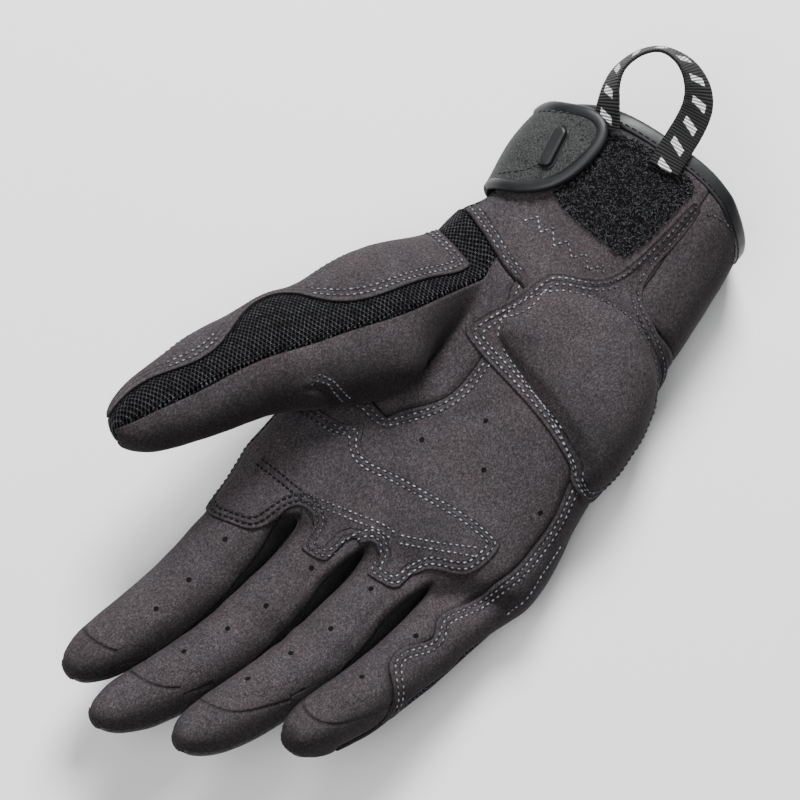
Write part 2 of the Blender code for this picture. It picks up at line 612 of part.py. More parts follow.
def add_tab(net):
    low = 2 * LAYER_GAP + LANDING
    add_layer(net, "closure_tab", TAB_OUTLINE, TOWARD_THUMB, low, TAB, WOVEN)
    first, last = TAB_FREE
    edge = smooth(in_metres(TAB_OUTLINE[first : last + 1]), 1, closed=False)
    ahead = np.gradient(edge, axis=0)
    away = np.cross(ahead, np.array(TOWARD_THUMB))
    away /= np.linalg.norm(away, axis=1, keepdims=True)
    edge = edge + away * (TAB_EDGE / 2 + 2 * LAYER_GAP)
    line, _ = on_skin(net, edge, TOWARD_THUMB, low + TAB / 2 + LAYER_GAP)
    add_tube("tab_binding", line, TAB_EDGE, RUBBER, 0.4, closed=False)

    place, way = on_skin(net, [(*in_metres(GRIP_AT), PALM_THICKNESS)], PALM_UP, low + TAB + LAYER_GAP)
    up = Vector(way[0])
    turned = Vector((math.sin(math.radians(-GRIP_TURN)), math.cos(math.radians(GRIP_TURN)), 0.0))
    along = (turned - up * turned.dot(up)).normalized()
    across = up.cross(along)
    bends = np.linspace(0, math.pi, 7)
    run = GRIP_LENGTH / 2 - GRIP_WIDTH / 2
    ends = [(math.cos(bend), math.sin(bend), 1) for bend in bends]
    ends += [(-math.cos(bend), -math.sin(bend), -1) for bend in bends]
    rings = []
    for height, shrink in ((0.0, 1.0), (0.6, 1.0), (1.0, 0.6)):
        for side, forward, end in ends:
            flat = across * (side * GRIP_WIDTH / 2 * shrink)
            long = along * (end * run + forward * GRIP_WIDTH / 2 * shrink)
            rings.append(np.array(Vector(place[0]) + flat + long + up * (height * GRIP_HEIGHT)))
    count = len(ends)
    faces = [list(range(count)), list(range(2 * count, 3 * count))]
    for level in (0, count):
        for at in range(count):
            beside = (at + 1) % count
            faces.append([level + at, level + beside, level + count + beside, level + count + at])
    new_object("tab_grip", rings, faces, RUBBER, 0.35)


def add_pull_loop():
    """A flat webbing loop that stands on edge where it starts and lies flat where it ends."""
    line = smooth(LOOP, 1, closed=False)
    turn = np.radians(line[:, 3])[:, None]
    line = in_metres(line[:, :3])
    ahead = np.gradient(line, axis=0)
    ahead /= np.linalg.norm(ahead, axis=1, keepdims=True)
    up = np.array([0.0, 0.0, 1.0]) - ahead[:, 2:] * ahead
    up /= np.linalg.norm(up, axis=1, keepdims=True)
    flat = np.cross(ahead, up)
    wide = up * np.cos(turn) + flat * np.sin(turn)
    thick = np.cross(ahead, wide)
    corners = ((-1, -1), (1, -1), (1, 1), (-1, 1))
    points = np.concatenate([
        line + wide * across * WEBBING_WIDTH / 2 + thick * through * WEBBING / 2 for across, through in corners
    ])
    count = len(line)
    faces = [[side * count for side in range(4)], [side * count + count - 1 for side in range(4)]]
    for side in range(4):
        first, second = side * count, (side + 1) % 4 * count
        faces += [[first + at, first + at + 1, second + at + 1, second + at] for at in range(count - 1)]
    new_object("pull_loop", points, faces, WEAVE, 0.7)


def main():
    for obj in list(bpy.data.objects):
        bpy.data.objects.remove(obj)
    net = glove_net()
    net.normals, net.facing = outward(net)
    for name, colour in (
        ("palm_panel", SUEDE), ("side_panel", SUEDE), ("thumb_panel", SUEDE), ("thumb_patch", SUEDE),
        ("wrist_panel", SUEDE), ("cuff_side_panel", SUEDE), ("thumb_mesh", KNIT), ("back_panel", KNIT),
        ("fourchette_1", STRETCH), ("fourchette_2", STRETCH), ("fourchette_3", STRETCH),
        ("index_side_strip", STRETCH),
    ):
        add_panel(net, name, colour)
    add_layer(net, "knuckle_patch", KNUCKLE_PATCH, PALM_UP, LAYER_GAP, PATCH, SUEDE_PATCH)
    add_layer(net, "heel_patch", HEEL_PATCH, TOWARD_LITTLE, LAYER_GAP, PATCH, SUEDE_PATCH, swell=pad)
    add_layer(net, "loop_landing", LANDING_OUTLINE, PALM_UP, LAYER_GAP, LANDING, FLEECE)
    add_tab(net)
    add_cuff_binding(net)
    add_pull_loop()


main()
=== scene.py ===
"""Suede riding glove lying palm up, dressed piece by piece over its solid model.

The outside is one smooth skin drawn through rings round the palm, the fingers and the thumb. Each cut
piece of the glove is a part of that skin with its own edge, puff and material. What is sewn on top is
an outline filled with points that are laid on the skin, and the stitches follow the seams and edges.
Sizes are in metres, palm up is +Z, the fingers point to -Y and the thumb is on the -X side.
"""

import functools
import math
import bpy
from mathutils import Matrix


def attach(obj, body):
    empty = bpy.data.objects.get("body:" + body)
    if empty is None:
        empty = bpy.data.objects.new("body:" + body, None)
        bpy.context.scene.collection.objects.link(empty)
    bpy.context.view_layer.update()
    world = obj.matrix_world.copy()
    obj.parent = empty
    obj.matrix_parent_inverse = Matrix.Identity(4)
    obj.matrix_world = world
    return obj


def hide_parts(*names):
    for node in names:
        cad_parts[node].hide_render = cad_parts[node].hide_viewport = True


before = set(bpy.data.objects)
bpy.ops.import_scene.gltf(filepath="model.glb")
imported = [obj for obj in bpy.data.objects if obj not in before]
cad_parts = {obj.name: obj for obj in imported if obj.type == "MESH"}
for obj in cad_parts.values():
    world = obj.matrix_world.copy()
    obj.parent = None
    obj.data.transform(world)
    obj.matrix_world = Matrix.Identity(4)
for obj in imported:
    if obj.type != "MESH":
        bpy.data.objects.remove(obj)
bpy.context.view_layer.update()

import types

import bmesh
import bpy
import numpy as np
from mathutils import Vector
from mathutils.bvhtree import BVHTree
from mathutils.geometry import delaunay_2d_cdt

bl_info = {
    "name": "Riding glove",
    "version": (1, 0, 0),
    "blender": (4, 5, 0),
    "location": "3D View > Sidebar > Glove",
    "description": "A suede riding glove with a padded heel, knit back, strap closure and pull loop",
    "category": "Object",
}

# Sizes of the whole glove
PALM_WIDTH = 0.094
PALM_THICKNESS = 0.034
BODY_LENGTH = 0.152
FINGER_LENGTH = 0.096
FINGER_THICKNESS = 0.0205
THUMB_LENGTH = 0.090
THUMB_DEPTH = 0.034
THUMB_THICKNESS = 0.027

# Walls, layers and gaps
LEATHER = 0.0016
LANDING = 0.0015
TAB = 0.0016
LAYER_GAP = 0.0003

# Trim
PIPING = 0.0034
TAB_EDGE = 0.0026
GRIP_LENGTH = 0.0120
GRIP_WIDTH = 0.0030
GRIP_HEIGHT = 0.0016
WEBBING_WIDTH = 0.0100
WEBBING = 0.0012

# Rings round the palm and cuff. y is a share of BODY_LENGTH, left and right of PALM_WIDTH, top, bottom
# and dish of PALM_THICKNESS. slant, wrist and rim are how much the ring follows the line of the
# knuckles, of the wrist's seam and of the cuff's rounded edge. thumb and side say where the seams of the
# thumb and of the side piece cross the ring, from -1 at the thumb's side to 1 at the little finger's.
PALM_COLUMNS = ("y", "left", "right", "top", "bottom", "dish", "slant", "wrist", "rim", "thumb", "side")
PALM = np.array([
    (-0.263, -0.380, 0.612, 0.80, -0.03, 0.00, 1.00, 0.00, 0.00, -0.23, 0.77),
    (-0.200, -0.385, 0.628, 0.89, -0.06, 0.03, 0.80, 0.00, 0.00, -0.26, 0.77),
    (-0.120, -0.393, 0.625, 0.93, -0.09, 0.06, 0.45, 0.00, 0.00, -0.34, 0.80),
    (-0.040, -0.403, 0.606, 0.94, -0.09, 0.10, 0.20, 0.00, 0.00, -0.42, 0.82),
    (0.046, -0.415, 0.569, 0.98, -0.09, 0.12, 0.00, 0.00, 0.00, -0.22, 0.85),
    (0.132, -0.436, 0.530, 1.03, -0.09, 0.12, 0.00, 0.00, 0.00, -0.14, 0.82),
    (0.217, -0.452, 0.512, 1.07, -0.09, 0.10, 0.00, 0.15, 0.00, -0.15, 0.80),
    (0.303, -0.457, 0.480, 1.09, -0.07, 0.06, 0.00, 0.50, 0.00, -0.20, 0.80),
    (0.382, -0.452, 0.428, 1.09, -0.06, 0.02, 0.00, 1.00, 0.10, -0.25, 0.76),
    (0.454, -0.415, 0.399, 1.12, -0.06, 0.00, 0.00, 0.40, 0.28, -0.25, 0.72),
    (0.522, -0.425, 0.378, 1.18, -0.06, 0.00, 0.00, 0.00, 0.46, -0.25, 0.72),
    (0.588, -0.448, 0.356, 1.24, -0.06, 0.00, 0.00, 0.00, 0.64, -0.25, 0.72),
    (0.653, -0.460, 0.335, 1.28, -0.06, 0.00, 0.00, 0.00, 0.82, -0.25, 0.72),
    (0.716, -0.460, 0.306, 1.31, -0.06, 0.00, 0.00, 0.00, 1.00, -0.25, 0.72),
])
ACROSS = 16                 # faces across the palm, four to a finger
LAST_ACROSS = 0.93          # how near the palm's edge the outermost of them ends
SQUARENESS = 2.7            # 2 would make the rings ellipses
RIM_LEAN, RIM_BOW = 0.038, 0.062    # how far the cuff's edge leans and rounds, as shares of BODY_LENGTH
DISH_AT, DISH_WIDTH = -0.15, 0.40

# The line of the finger roots, one row for each edge of a finger: across from -1 to 1, and y as a share
# of BODY_LENGTH. wrist is how far the wrist's seam lies from its ring there.
KNUCKLE_COLUMNS = ("across", "y", "wrist")
KNUCKLES = np.array([
    (-0.930, -0.270, -0.007), (-0.405, -0.308, -0.053), (0.040, -0.260, -0.068), (0.500, -0.220, -0.040),
    (0.930, -0.160, 0.000),
])

# Fingers. x, y and z are the root's centre as shares of PALM_WIDTH, BODY_LENGTH and PALM_THICKNESS,
# length is a share of FINGER_LENGTH, width and tip of PALM_WIDTH. The turns are in degrees: turn_0
# and turn_1 toward the thumb at root and tip, climb_0 and climb_1 up off the floor.
FINGER_COLUMNS = ("x", "y", "z", "length", "width", "tip", "turn_0", "turn_1", "climb_0", "climb_1")
FINGERS = {
    "index": (-0.230, -0.263, 0.46, 0.95, 0.275, 0.204, -9.5, 15.0, 0.0, 24.0),
    "middle": (0.030, -0.270, 0.475, 1.00, 0.230, 0.203, -6.0, 22.0, 0.0, 28.0),
    "ring": (0.260, -0.237, 0.49, 0.93, 0.230, 0.200, -4.0, 19.0, 3.0, 32.0),
    "little": (0.484, -0.197, 0.50, 0.76, 0.226, 0.192, -3.0, 18.0, 8.0, 36.0),
}
# Rings along a finger: where, as a share of its length, how full, and where the little finger's
# seam crosses it, in degrees round from the little finger's outer side.
STATION_COLUMNS = ("at", "full", "seam")
STATIONS = np.array([
    (0.140, 1.00, 104), (0.230, 1.00, 86), (0.340, 1.00, 106), (0.460, 0.99, 104), (0.520, 0.99, 60),
    (0.580, 0.99, 16), (0.700, 0.98, 2), (0.800, 0.94, 0), (0.880, 0.85, 0), (0.945, 0.66, 0), (0.985, 0.36, 0),
])
# Where the twelve points of a finger's ring lie, in degrees from its little-finger side, palm side up.
RING_ANGLES = np.array([164, 131, 90, 49, 16, -12, -40, -65, -90, -115, -140, -168.0])
BEND = 1.3                  # above 1, a finger bends more toward its tip
SIDE_ENDS = 8               # the ring of the little finger where the side piece ends
# How far the strips between the fingers climb onto the fronts: shares of the length, and degrees
STRIP_AT, STRIP_RISE = (0.14, 0.64), (50, 16)

# Rings along the thumb: x, y and z from THUMB_ROOT as shares of THUMB_LENGTH, deep from nail to pad as
# a share of THUMB_DEPTH, thick of THUMB_THICKNESS, and the degrees at which the seam of the pad and the
# edge of the patch cross the ring.
THUMB_ROOT = (-0.325, 0.079, 0.93)
THUMB_COLUMNS = ("x", "y", "z", "deep", "thick", "pad", "patch")
THUMB = np.array([
    (0.000, 0.000, 0.000, 1.45, 1.38, 84, 103),
    (-0.075, -0.150, 0.045, 1.24, 1.22, 82, 108),
    (-0.130, -0.270, 0.085, 1.10, 1.08, 80, 143),
    (-0.190, -0.390, 0.115, 0.99, 1.00, 78, 145),
    (-0.230, -0.520, 0.150, 0.91, 0.93, 77, 113),
    (-0.262, -0.650, 0.180, 0.82, 0.86, 76, 114),
    (-0.297, -0.770, 0.200, 0.70, 0.75, 77, 128),
    (-0.322, -0.855, 0.212, 0.54, 0.60, 77, 132),
    (-0.340, -0.905, 0.218, 0.32, 0.38, 77, 132),
])
THUMB_FIRST, THUMB_LAST, THUMB_ACROSS = 3, 7, 4    # the rings and faces of the palm that it grows from
THUMB_SEAM = 6              # faces across the palm to the thumb's seam
MESH_ENDS = (-0.59, -0.46)  # where the thumb's mesh meets the wrist, from -1 to 1 across the ring

# Where the web between the thumb and the palm runs straight: which points of the thumb's rings, by how
# much, and how far along each of the first rings lies.
WEB_POINTS, WEB_SHARES = (4, 5, 6, 7, 11, 12, 13), (0.0, 0.3, 0.7, 1.0, 1.0, 0.4, 0.0)
WEB_RISE = (0.22, 0.45, 0.72)

# Outlines of what is sewn on top, as x, y and z shares of PALM_WIDTH, BODY_LENGTH and PALM_THICKNESS
KNUCKLE_PATCH = np.array([
    (-0.420, -0.205, 0.75), (-0.420, -0.300, 0.65), (-0.420, -0.396, 0.60), (-0.318, -0.426, 0.57),
    (-0.294, -0.433, 0.65), (-0.230, -0.418, 0.74), (-0.146, -0.394, 0.70), (-0.130, -0.322, 0.65),
    (-0.108, -0.294, 0.81), (-0.079, -0.288, 0.83), (-0.044, -0.288, 0.83), (-0.017, -0.341, 0.70),
    (-0.002, -0.354, 0.71), (0.067, -0.343, 0.72), (0.094, -0.328, 0.70), (0.108, -0.296, 0.70),
    (0.128, -0.247, 0.84), (0.164, -0.237, 0.85), (0.183, -0.280, 0.76), (0.190, -0.297, 0.72),
    (0.252, -0.291, 0.78), (0.303, -0.280, 0.75), (0.312, -0.250, 0.76), (0.323, -0.210, 0.84),
    (0.345, -0.196, 0.85), (0.389, -0.181, 0.84), (0.440, -0.155, 0.84), (0.450, -0.106, 0.85),
    (0.443, -0.070, 0.86), (0.412, -0.062, 0.88), (0.296, -0.068, 0.91), (0.155, -0.091, 0.88),
    (0.030, -0.111, 0.86), (-0.040, -0.130, 0.87), (-0.088, -0.133, 0.87), (-0.116, -0.116, 0.87),
    (-0.150, -0.078, 0.86), (-0.175, -0.120, 0.86), (-0.330, -0.135, 0.83), (-0.420, -0.145, 0.70),
])
HEEL_PATCH = np.array([
    (-0.126, 0.176, 0.95), (-0.137, 0.202, 0.97), (-0.123, 0.250, 1.00), (-0.099, 0.291, 1.02),
    (-0.094, 0.330, 1.04), (-0.087, 0.368, 1.06), (-0.071, 0.386, 1.07), (-0.033, 0.405, 1.09),
    (0.024, 0.425, 1.10), (0.061, 0.444, 1.11), (0.080, 0.466, 1.12), (0.093, 0.500, 1.14),
    (0.099, 0.592, 1.21), (0.090, 0.683, 1.26), (0.145, 0.685, 1.24), (0.161, 0.606, 1.19),
    (0.163, 0.537, 1.15), (0.178, 0.495, 1.12), (0.206, 0.469, 1.08), (0.269, 0.456, 1.02),
    (0.349, 0.442, 0.89), (0.401, 0.422, 0.62), (0.440, 0.370, 0.40), (0.490, 0.270, 0.38),
    (0.520, 0.175, 0.38), (0.525, 0.130, 0.48), (0.500, 0.108, 0.65), (0.450, 0.112, 0.86),
    (0.421, 0.135, 0.90), (0.360, 0.144, 0.96), (0.248, 0.158, 1.00), (0.053, 0.168, 0.96),
])
LANDING_OUTLINE = np.array([
    (-0.300, 0.590, 1.23), (-0.260, 0.510, 1.17), (-0.188, 0.488, 1.14), (-0.022, 0.496, 1.15),
    (0.074, 0.498, 1.15), (0.088, 0.536, 1.17), (0.092, 0.592, 1.21), (0.090, 0.684, 1.26),
    (0.072, 0.705, 1.27), (-0.007, 0.706, 1.29), (-0.110, 0.696, 1.29), (-0.191, 0.678, 1.27),
    (-0.270, 0.655, 1.26),
])
TAB_OUTLINE = np.array([
    (-0.440, 0.436, 0.30), (-0.440, 0.442, 0.80), (-0.394, 0.456, 1.04), (-0.332, 0.486, 1.15),
    (-0.280, 0.522, 1.19), (-0.245, 0.568, 1.22), (-0.234, 0.622, 1.24), (-0.254, 0.660, 1.25),
    (-0.312, 0.664, 1.24), (-0.412, 0.632, 1.13), (-0.455, 0.610, 0.75), (-0.460, 0.600, 0.25),
    (-0.450, 0.500, 0.22),
])
TAB_BOUND = (1, 10)         # the first and last of its points that the rubber edge runs past
CUFF_BAND = 0.0052          # how wide the cuff's folded binding is
TAB_BAND = 0.0038           # how wide that edge is
TAB_ROW = 0.0021            # from the strap's edge to its row of black stitches
GRIP_AT, GRIP_TURN = (-0.326, 0.568), 15.0
# The grip's profile from its moulded foot to its rounded top: shares of its height and of its width
GRIP_RINGS = (
    (-0.60, 1.90), (0.03, 1.90), (0.10, 1.78), (0.04, 1.62), (-0.10, 1.54), (0.10, 1.46), (0.75, 1.42),
    (0.93, 1.30), (1.03, 1.06), (1.05, 0.75), (1.06, 0.35), (1.06, 0.05),
)

# The pull loop's middle line, and how far its width has turned from upright to flat, in degrees
LOOP_COLUMNS = ("x", "y", "z", "turn")
LOOP = np.array([
    (-0.258, 0.660, 1.33, 50), (-0.300, 0.690, 1.43, 40), (-0.339, 0.720, 1.46, 28), (-0.363, 0.757, 1.45, 22),
    (-0.359, 0.803, 1.44, 22), (-0.328, 0.843, 1.43, 24), (-0.280, 0.861, 1.42, 30),
    (-0.213, 0.865, 1.41, 42), (-0.148, 0.850, 1.40, 56), (-0.100, 0.823, 1.39, 68),
    (-0.073, 0.784, 1.39, 78), (-0.055, 0.739, 1.39, 86), (-0.043, 0.703, 1.39, 90),
    (-0.030, 0.676, 1.38, 90),
])

PALM_UP = Vector((0.0, 0.0, 1.0))
TOWARD_THUMB = Vector((-math.sin(math.radians(56)), 0.0, math.cos(math.radians(56))))
TOWARD_LITTLE = Vector((math.sin(math.radians(35)), 0.0, math.cos(math.radians(35))))
REACH = 0.2                 # longer than the glove is high


def column(table, columns, name):
    return table[..., columns.index(name)]


def in_metres(points):
    """Points given as shares of the palm's width, length and thickness, in metres."""
    sizes = (PALM_WIDTH, BODY_LENGTH, PALM_THICKNESS)
    return np.asarray(points, float) * sizes[: np.shape(points)[-1]]


def palm_rings():
    """Rings round the palm and cuff, 36 points each: across the palm, the outer side, back across
    the back of the hand, and the thumb's side."""
    take = {name: column(PALM, PALM_COLUMNS, name)[:, None] for name in PALM_COLUMNS}
    steps = np.arange(ACROSS + 1)
    across = np.stack([
        np.interp(steps, (0, THUMB_SEAM, ACROSS - 1, ACROSS), (-LAST_ACROSS, thumb, side, LAST_ACROSS))
        for thumb, side in zip(take["thumb"][:, 0], take["side"][:, 0])
    ])
    across[THUMB_LAST, :THUMB_SEAM] = np.interp(
        steps[:THUMB_SEAM], (0, 2, THUMB_ACROSS, THUMB_SEAM), (-LAST_ACROSS, *MESH_ENDS, PALM[THUMB_LAST, -2])
    )
    knuckles = {name: column(KNUCKLES, KNUCKLE_COLUMNS, name) for name in KNUCKLE_COLUMNS}
    roots = np.interp(steps, np.linspace(0, ACROSS, len(KNUCKLES)), knuckles["across"])
    across[0] = np.where(steps < ACROSS - 1, roots, across[0])
    below = np.tile(roots, (len(PALM), 1))
    middle = (take["left"] + take["right"]) / 2 * PALM_WIDTH
    half_width = (take["right"] - take["left"]) / 2 * PALM_WIDTH
    level = (take["top"] + take["bottom"]) / 2 * PALM_THICKNESS
    half_height = (take["top"] - take["bottom"]) / 2 * PALM_THICKNESS

    def points(share, sign):
        share = np.asarray(share, float) * np.ones((len(PALM), 1))
        rise = (1 - np.abs(share) ** SQUARENESS) ** (1 / SQUARENESS)
        y = take["y"] + take["slant"] * (np.interp(share, knuckles["across"], knuckles["y"]) - PALM[0, 0])
        y = y + take["wrist"] * np.interp(share, knuckles["across"], knuckles["wrist"])
        y = (y + take["rim"] * (RIM_LEAN * share - RIM_BOW * np.abs(share) ** 3)) * BODY_LENGTH
        dish = take["dish"] * PALM_THICKNESS * np.exp(-(((share - DISH_AT) / DISH_WIDTH) ** 2))
        z = level + sign * half_height * rise - (dish if sign > 0 else 0)
        return np.stack([middle + half_width * share, y, z], axis=2)

    rings = [points(across, 1), points([[1.0]], 1), points(below, -1)[:, ::-1], points([[-1.0]], 1)]
    return np.concatenate(rings, axis=1)


def finger_rings(name):
    """Rings along a finger, 12 points each, on a middle line that turns and climbs steadily."""
    row = dict(zip(FINGER_COLUMNS, FINGERS[name]))
    steps = np.linspace(0, 1, 201)
    eased = steps**BEND
    turn = np.radians(row["turn_0"] + (row["turn_1"] - row["turn_0"]) * eased)
    climb = np.radians(row["climb_0"] + (row["climb_1"] - row["climb_0"]) * eased)
    heading = np.stack([-np.sin(turn) * np.cos(climb), -np.cos(turn) * np.cos(climb), np.sin(climb)], 1)
    step = row["length"] * FINGER_LENGTH / (len(steps) - 1)
    line = in_metres((row["x"], row["y"], row["z"])) + np.cumsum(heading, axis=0) * step
    rings = []
    for at, full, seam in STATIONS:
        centre = np.array([np.interp(at, steps, line[:, axis]) for axis in range(3)])
        ahead = np.array([np.interp(at, steps, heading[:, axis]) for axis in range(3)])
        side = np.cross((0, 0, 1), ahead)
        side /= -np.linalg.norm(side) * math.copysign(1, -side[0])
        up = np.cross(ahead, side)
        up *= math.copysign(1, up[2])
        degrees = RING_ANGLES.copy()
        if name != "little":
            degrees[2:5] = np.linspace(RING_ANGLES[2], np.interp(at, STRIP_AT, STRIP_RISE), 3)
        else:
            degrees[:4] = np.linspace(RING_ANGLES[0], seam, 4)
            degrees[3:8] = np.linspace(seam, RING_ANGLES[7], 5)
        round_it = np.radians(degrees)[:, None]
        half_width = (row["width"] + (row["tip"] - row["width"]) * at) / 2 * PALM_WIDTH * full
        half_height = FINGER_THICKNESS / 2 * full
        rings.append(centre + half_width * np.cos(round_it) * side + half_height * np.sin(round_it) * up)
    return rings


def thumb_rings(count):
    """Rings along the thumb, with the points that its seams follow at their own angles."""
    root = in_metres(THUMB_ROOT)
    line = root + THUMB[:, :3] * THUMB_LENGTH
    rings = []
    for at, row in enumerate(THUMB):
        take = dict(zip(THUMB_COLUMNS, row))
        ahead = line[min(at + 1, len(line) - 1)] - line[max(at - 1, 0)]
        side = np.cross(ahead, (0, 0, 1))
        side /= np.linalg.norm(side) * math.copysign(1, side[0])
        up = np.cross(side, ahead / np.linalg.norm(ahead))
        up *= math.copysign(1, up[2])
        whole = (take["patch"], take["pad"], take["patch"] - 360)
        round_it = np.radians(np.interp(np.arange(count), (0, 2, count), whole))[:, None]
        across = take["deep"] * THUMB_DEPTH / 2 * np.cos(round_it) * side
        rings.append(line[at] + across + take["thick"] * THUMB_THICKNESS / 2 * np.sin(round_it) * up)
    return rings


class Net:
    """The glove's outside: points, faces, and the name of the piece that each face belongs to."""

    def __init__(self):
        self.points = np.empty((0, 3))
        self.faces = []
        self.owners = []
        self.tops = []
        self.crotches = {}

    def add(self, points):
        first = len(self.points)
        self.points = np.concatenate([self.points, points])
        return list(range(first, first + len(points)))

    def face(self, corners, owner, top=False):
        """One face, the name of its piece, and whether a layer sewn on top can lie on it."""
        self.faces.append(tuple(corners))
        self.owners.append(owner)
        self.tops.append(top)

    def tube(self, start, rings, owner_of, tops=()):
        """Faces from the loop of points called start through each ring, closed over the last one."""
        count = len(start)
        for row, points in enumerate(rings):
            ring = self.add(points)
            for at in range(count):
                beside = (at + 1) % count
                corners = (start[at], start[beside], ring[beside], ring[at])
                self.face(corners, owner_of(row, at), top=at in tops)
            start = ring
        self.face(start, owner_of(len(rings), None))


def palm_owner(row, at):
    """The piece that a face of the palm's rings belongs to: row counts from the knuckles, at goes
    across the palm from the thumb's side."""
    outer, last = ACROSS, 2 * ACROSS + 3
    if outer < at < last:
        return "back_panel"
    if at >= last:
        at = -1
    if row > THUMB_LAST:
        if at < 0:
            return "back_panel"
        if at >= 13 and row > THUMB_LAST + 1:
            return "cuff_side_panel"
        return "side_panel" if at >= ACROSS - 1 else "wrist_panel"
    if row == THUMB_LAST and at < THUMB_ACROSS:
        return "thumb_mesh"
    if row >= THUMB_FIRST and at < THUMB_SEAM:
        return "thumb_panel"
    return "side_panel" if at >= ACROSS - 1 else "palm_panel"


def finger_owner(finger, row, at):
    """The piece that a face of a finger belongs to: at goes round from the thumb's side of its front, and
    row counts from the root. The little finger's outer side ends at the seam across its tip."""
    if at is None or (finger == 3 and row >= SIDE_ENDS and 3 <= at < 5):
        return "palm_panel"
    if 6 <= at <= 9:
        return "back_panel"
    if finger == 3 and at >= 3 and at < 6:
        return "side_panel" if at < 5 else "back_panel"
    if at < 4:
        return "palm_panel"
    if at < 6:
        return f"fourchette_{finger + 1}"
    return f"fourchette_{finger}" if finger else "index_side_strip"


def thumb_owner(row, at):
    """The piece that a face of the thumb belongs to: at goes round from the patch's edge."""
    if at is None or at < 2 or 11 <= at <= 13:
        return "thumb_mesh"
    return "thumb_panel" if at < 11 else "thumb_patch"


def glove_net():
    net = Net()
    rows = [net.add(ring) for ring in palm_rings()]
    around = len(rows[0])
    thumb_side = around - 1
    in_thumb = [thumb_side, *range(THUMB_ACROSS)]
    for row in range(len(rows) - 1):
        for at in range(around):
            if THUMB_FIRST <= row < THUMB_LAST and at in in_thumb:
                continue
            beside = (at + 1) % around
            corners = (rows[row][at], rows[row + 1][at], rows[row + 1][beside], rows[row][beside])
            net.face(corners, palm_owner(row, at), top=True)

    knuckles = rows[0]
    per_finger = ACROSS // 4
    back = [knuckles[2 * ACROSS + 2 - step] for step in range(ACROSS + 1)]
    between = [knuckles[thumb_side]]
    for finger in range(1, 4):
        at = finger * per_finger
        between += net.add([(net.points[knuckles[at]] + net.points[back[at]]) / 2])
        net.crotches.update({knuckles[at]: between[-1], back[at]: between[-1]})
    between.append(knuckles[ACROSS + 1])
    for finger, name in enumerate(FINGERS):
        first = finger * per_finger
        front = knuckles[first : first + per_finger + 1]
        behind = back[first : first + per_finger + 1][::-1]
        start = [*front, between[finger + 1], *behind, between[finger]]
        rings = finger_rings(name)
        tops = (len(start) - 1, 0, 1, 2, 3) if name == "index" else (1, 2)
        net.tube(start, rings, lambda row, at, finger=finger: finger_owner(finger, row, at), tops)

    near, far = rows[THUMB_LAST], rows[THUMB_FIRST]
    inner = range(THUMB_LAST - 1, THUMB_FIRST, -1)
    start = near[2 : THUMB_ACROSS + 1] + [rows[row][THUMB_ACROSS] for row in inner]
    start += far[THUMB_ACROSS::-1] + [far[thumb_side]]
    start += [rows[row][thumb_side] for row in reversed(inner)] + [near[thumb_side], near[0], near[1]]
    rings = thumb_rings(len(start))
    rings.insert(0, (net.points[start] + rings[0]) / 2)
    web = np.interp(np.arange(len(start)), WEB_POINTS, WEB_SHARES)[:, None]
    for at, share in enumerate(WEB_RISE):
        straight = net.points[start] + share * (rings[len(WEB_RISE)] - net.points[start])
        rings[at] += web * (straight - rings[at])
    net.tube(start, rings, thumb_owner)
    net.points[:, 2] = np.maximum(net.points[:, 2], 0.0)
    return net


def smooth(points, times, closed):
    """Corners cut off a line of points, times over."""
    for _ in range(times):
        after = np.roll(points, -1, axis=0) if closed else points[1:]
        before = points if closed else points[:-1]
        cut = np.stack([0.75 * before + 0.25 * after, 0.25 * before + 0.75 * after], axis=1)
        cut = cut.reshape(-1, points.shape[1])
        points = cut if closed else np.concatenate([points[:1], cut, points[-1:]])
    return points


# How the cut pieces overlap: where two meet, the one with the higher number lies on top
LAP_ORDER = {
    "back_panel": 0, "fourchette_1": 0, "fourchette_2": 0, "fourchette_3": 0, "index_side_strip": 0,
    "thumb_mesh": 1, "thumb_panel": 2, "wrist_panel": 3, "palm_panel": 4, "cuff_side_panel": 3,
    "side_panel": 6, "thumb_patch": 7,
}
# Seams with two rows of stitches: the piece that carries the rows, and the piece beside it
SEWN = (
    ("side_panel", "palm_panel"), ("palm_panel", "thumb_panel"), ("thumb_patch", "thumb_mesh"),
    ("wrist_panel", "thumb_mesh"), ("wrist_panel", "thumb_panel"),
)
# Stretches of those seams with no stitches to be seen, in metres along y
BARE = {("thumb_patch", "thumb_mesh"): ((-0.029, 0.001), (-0.2, -0.046)), ("side_panel", "palm_panel"): ((-0.2, -0.0675),)}
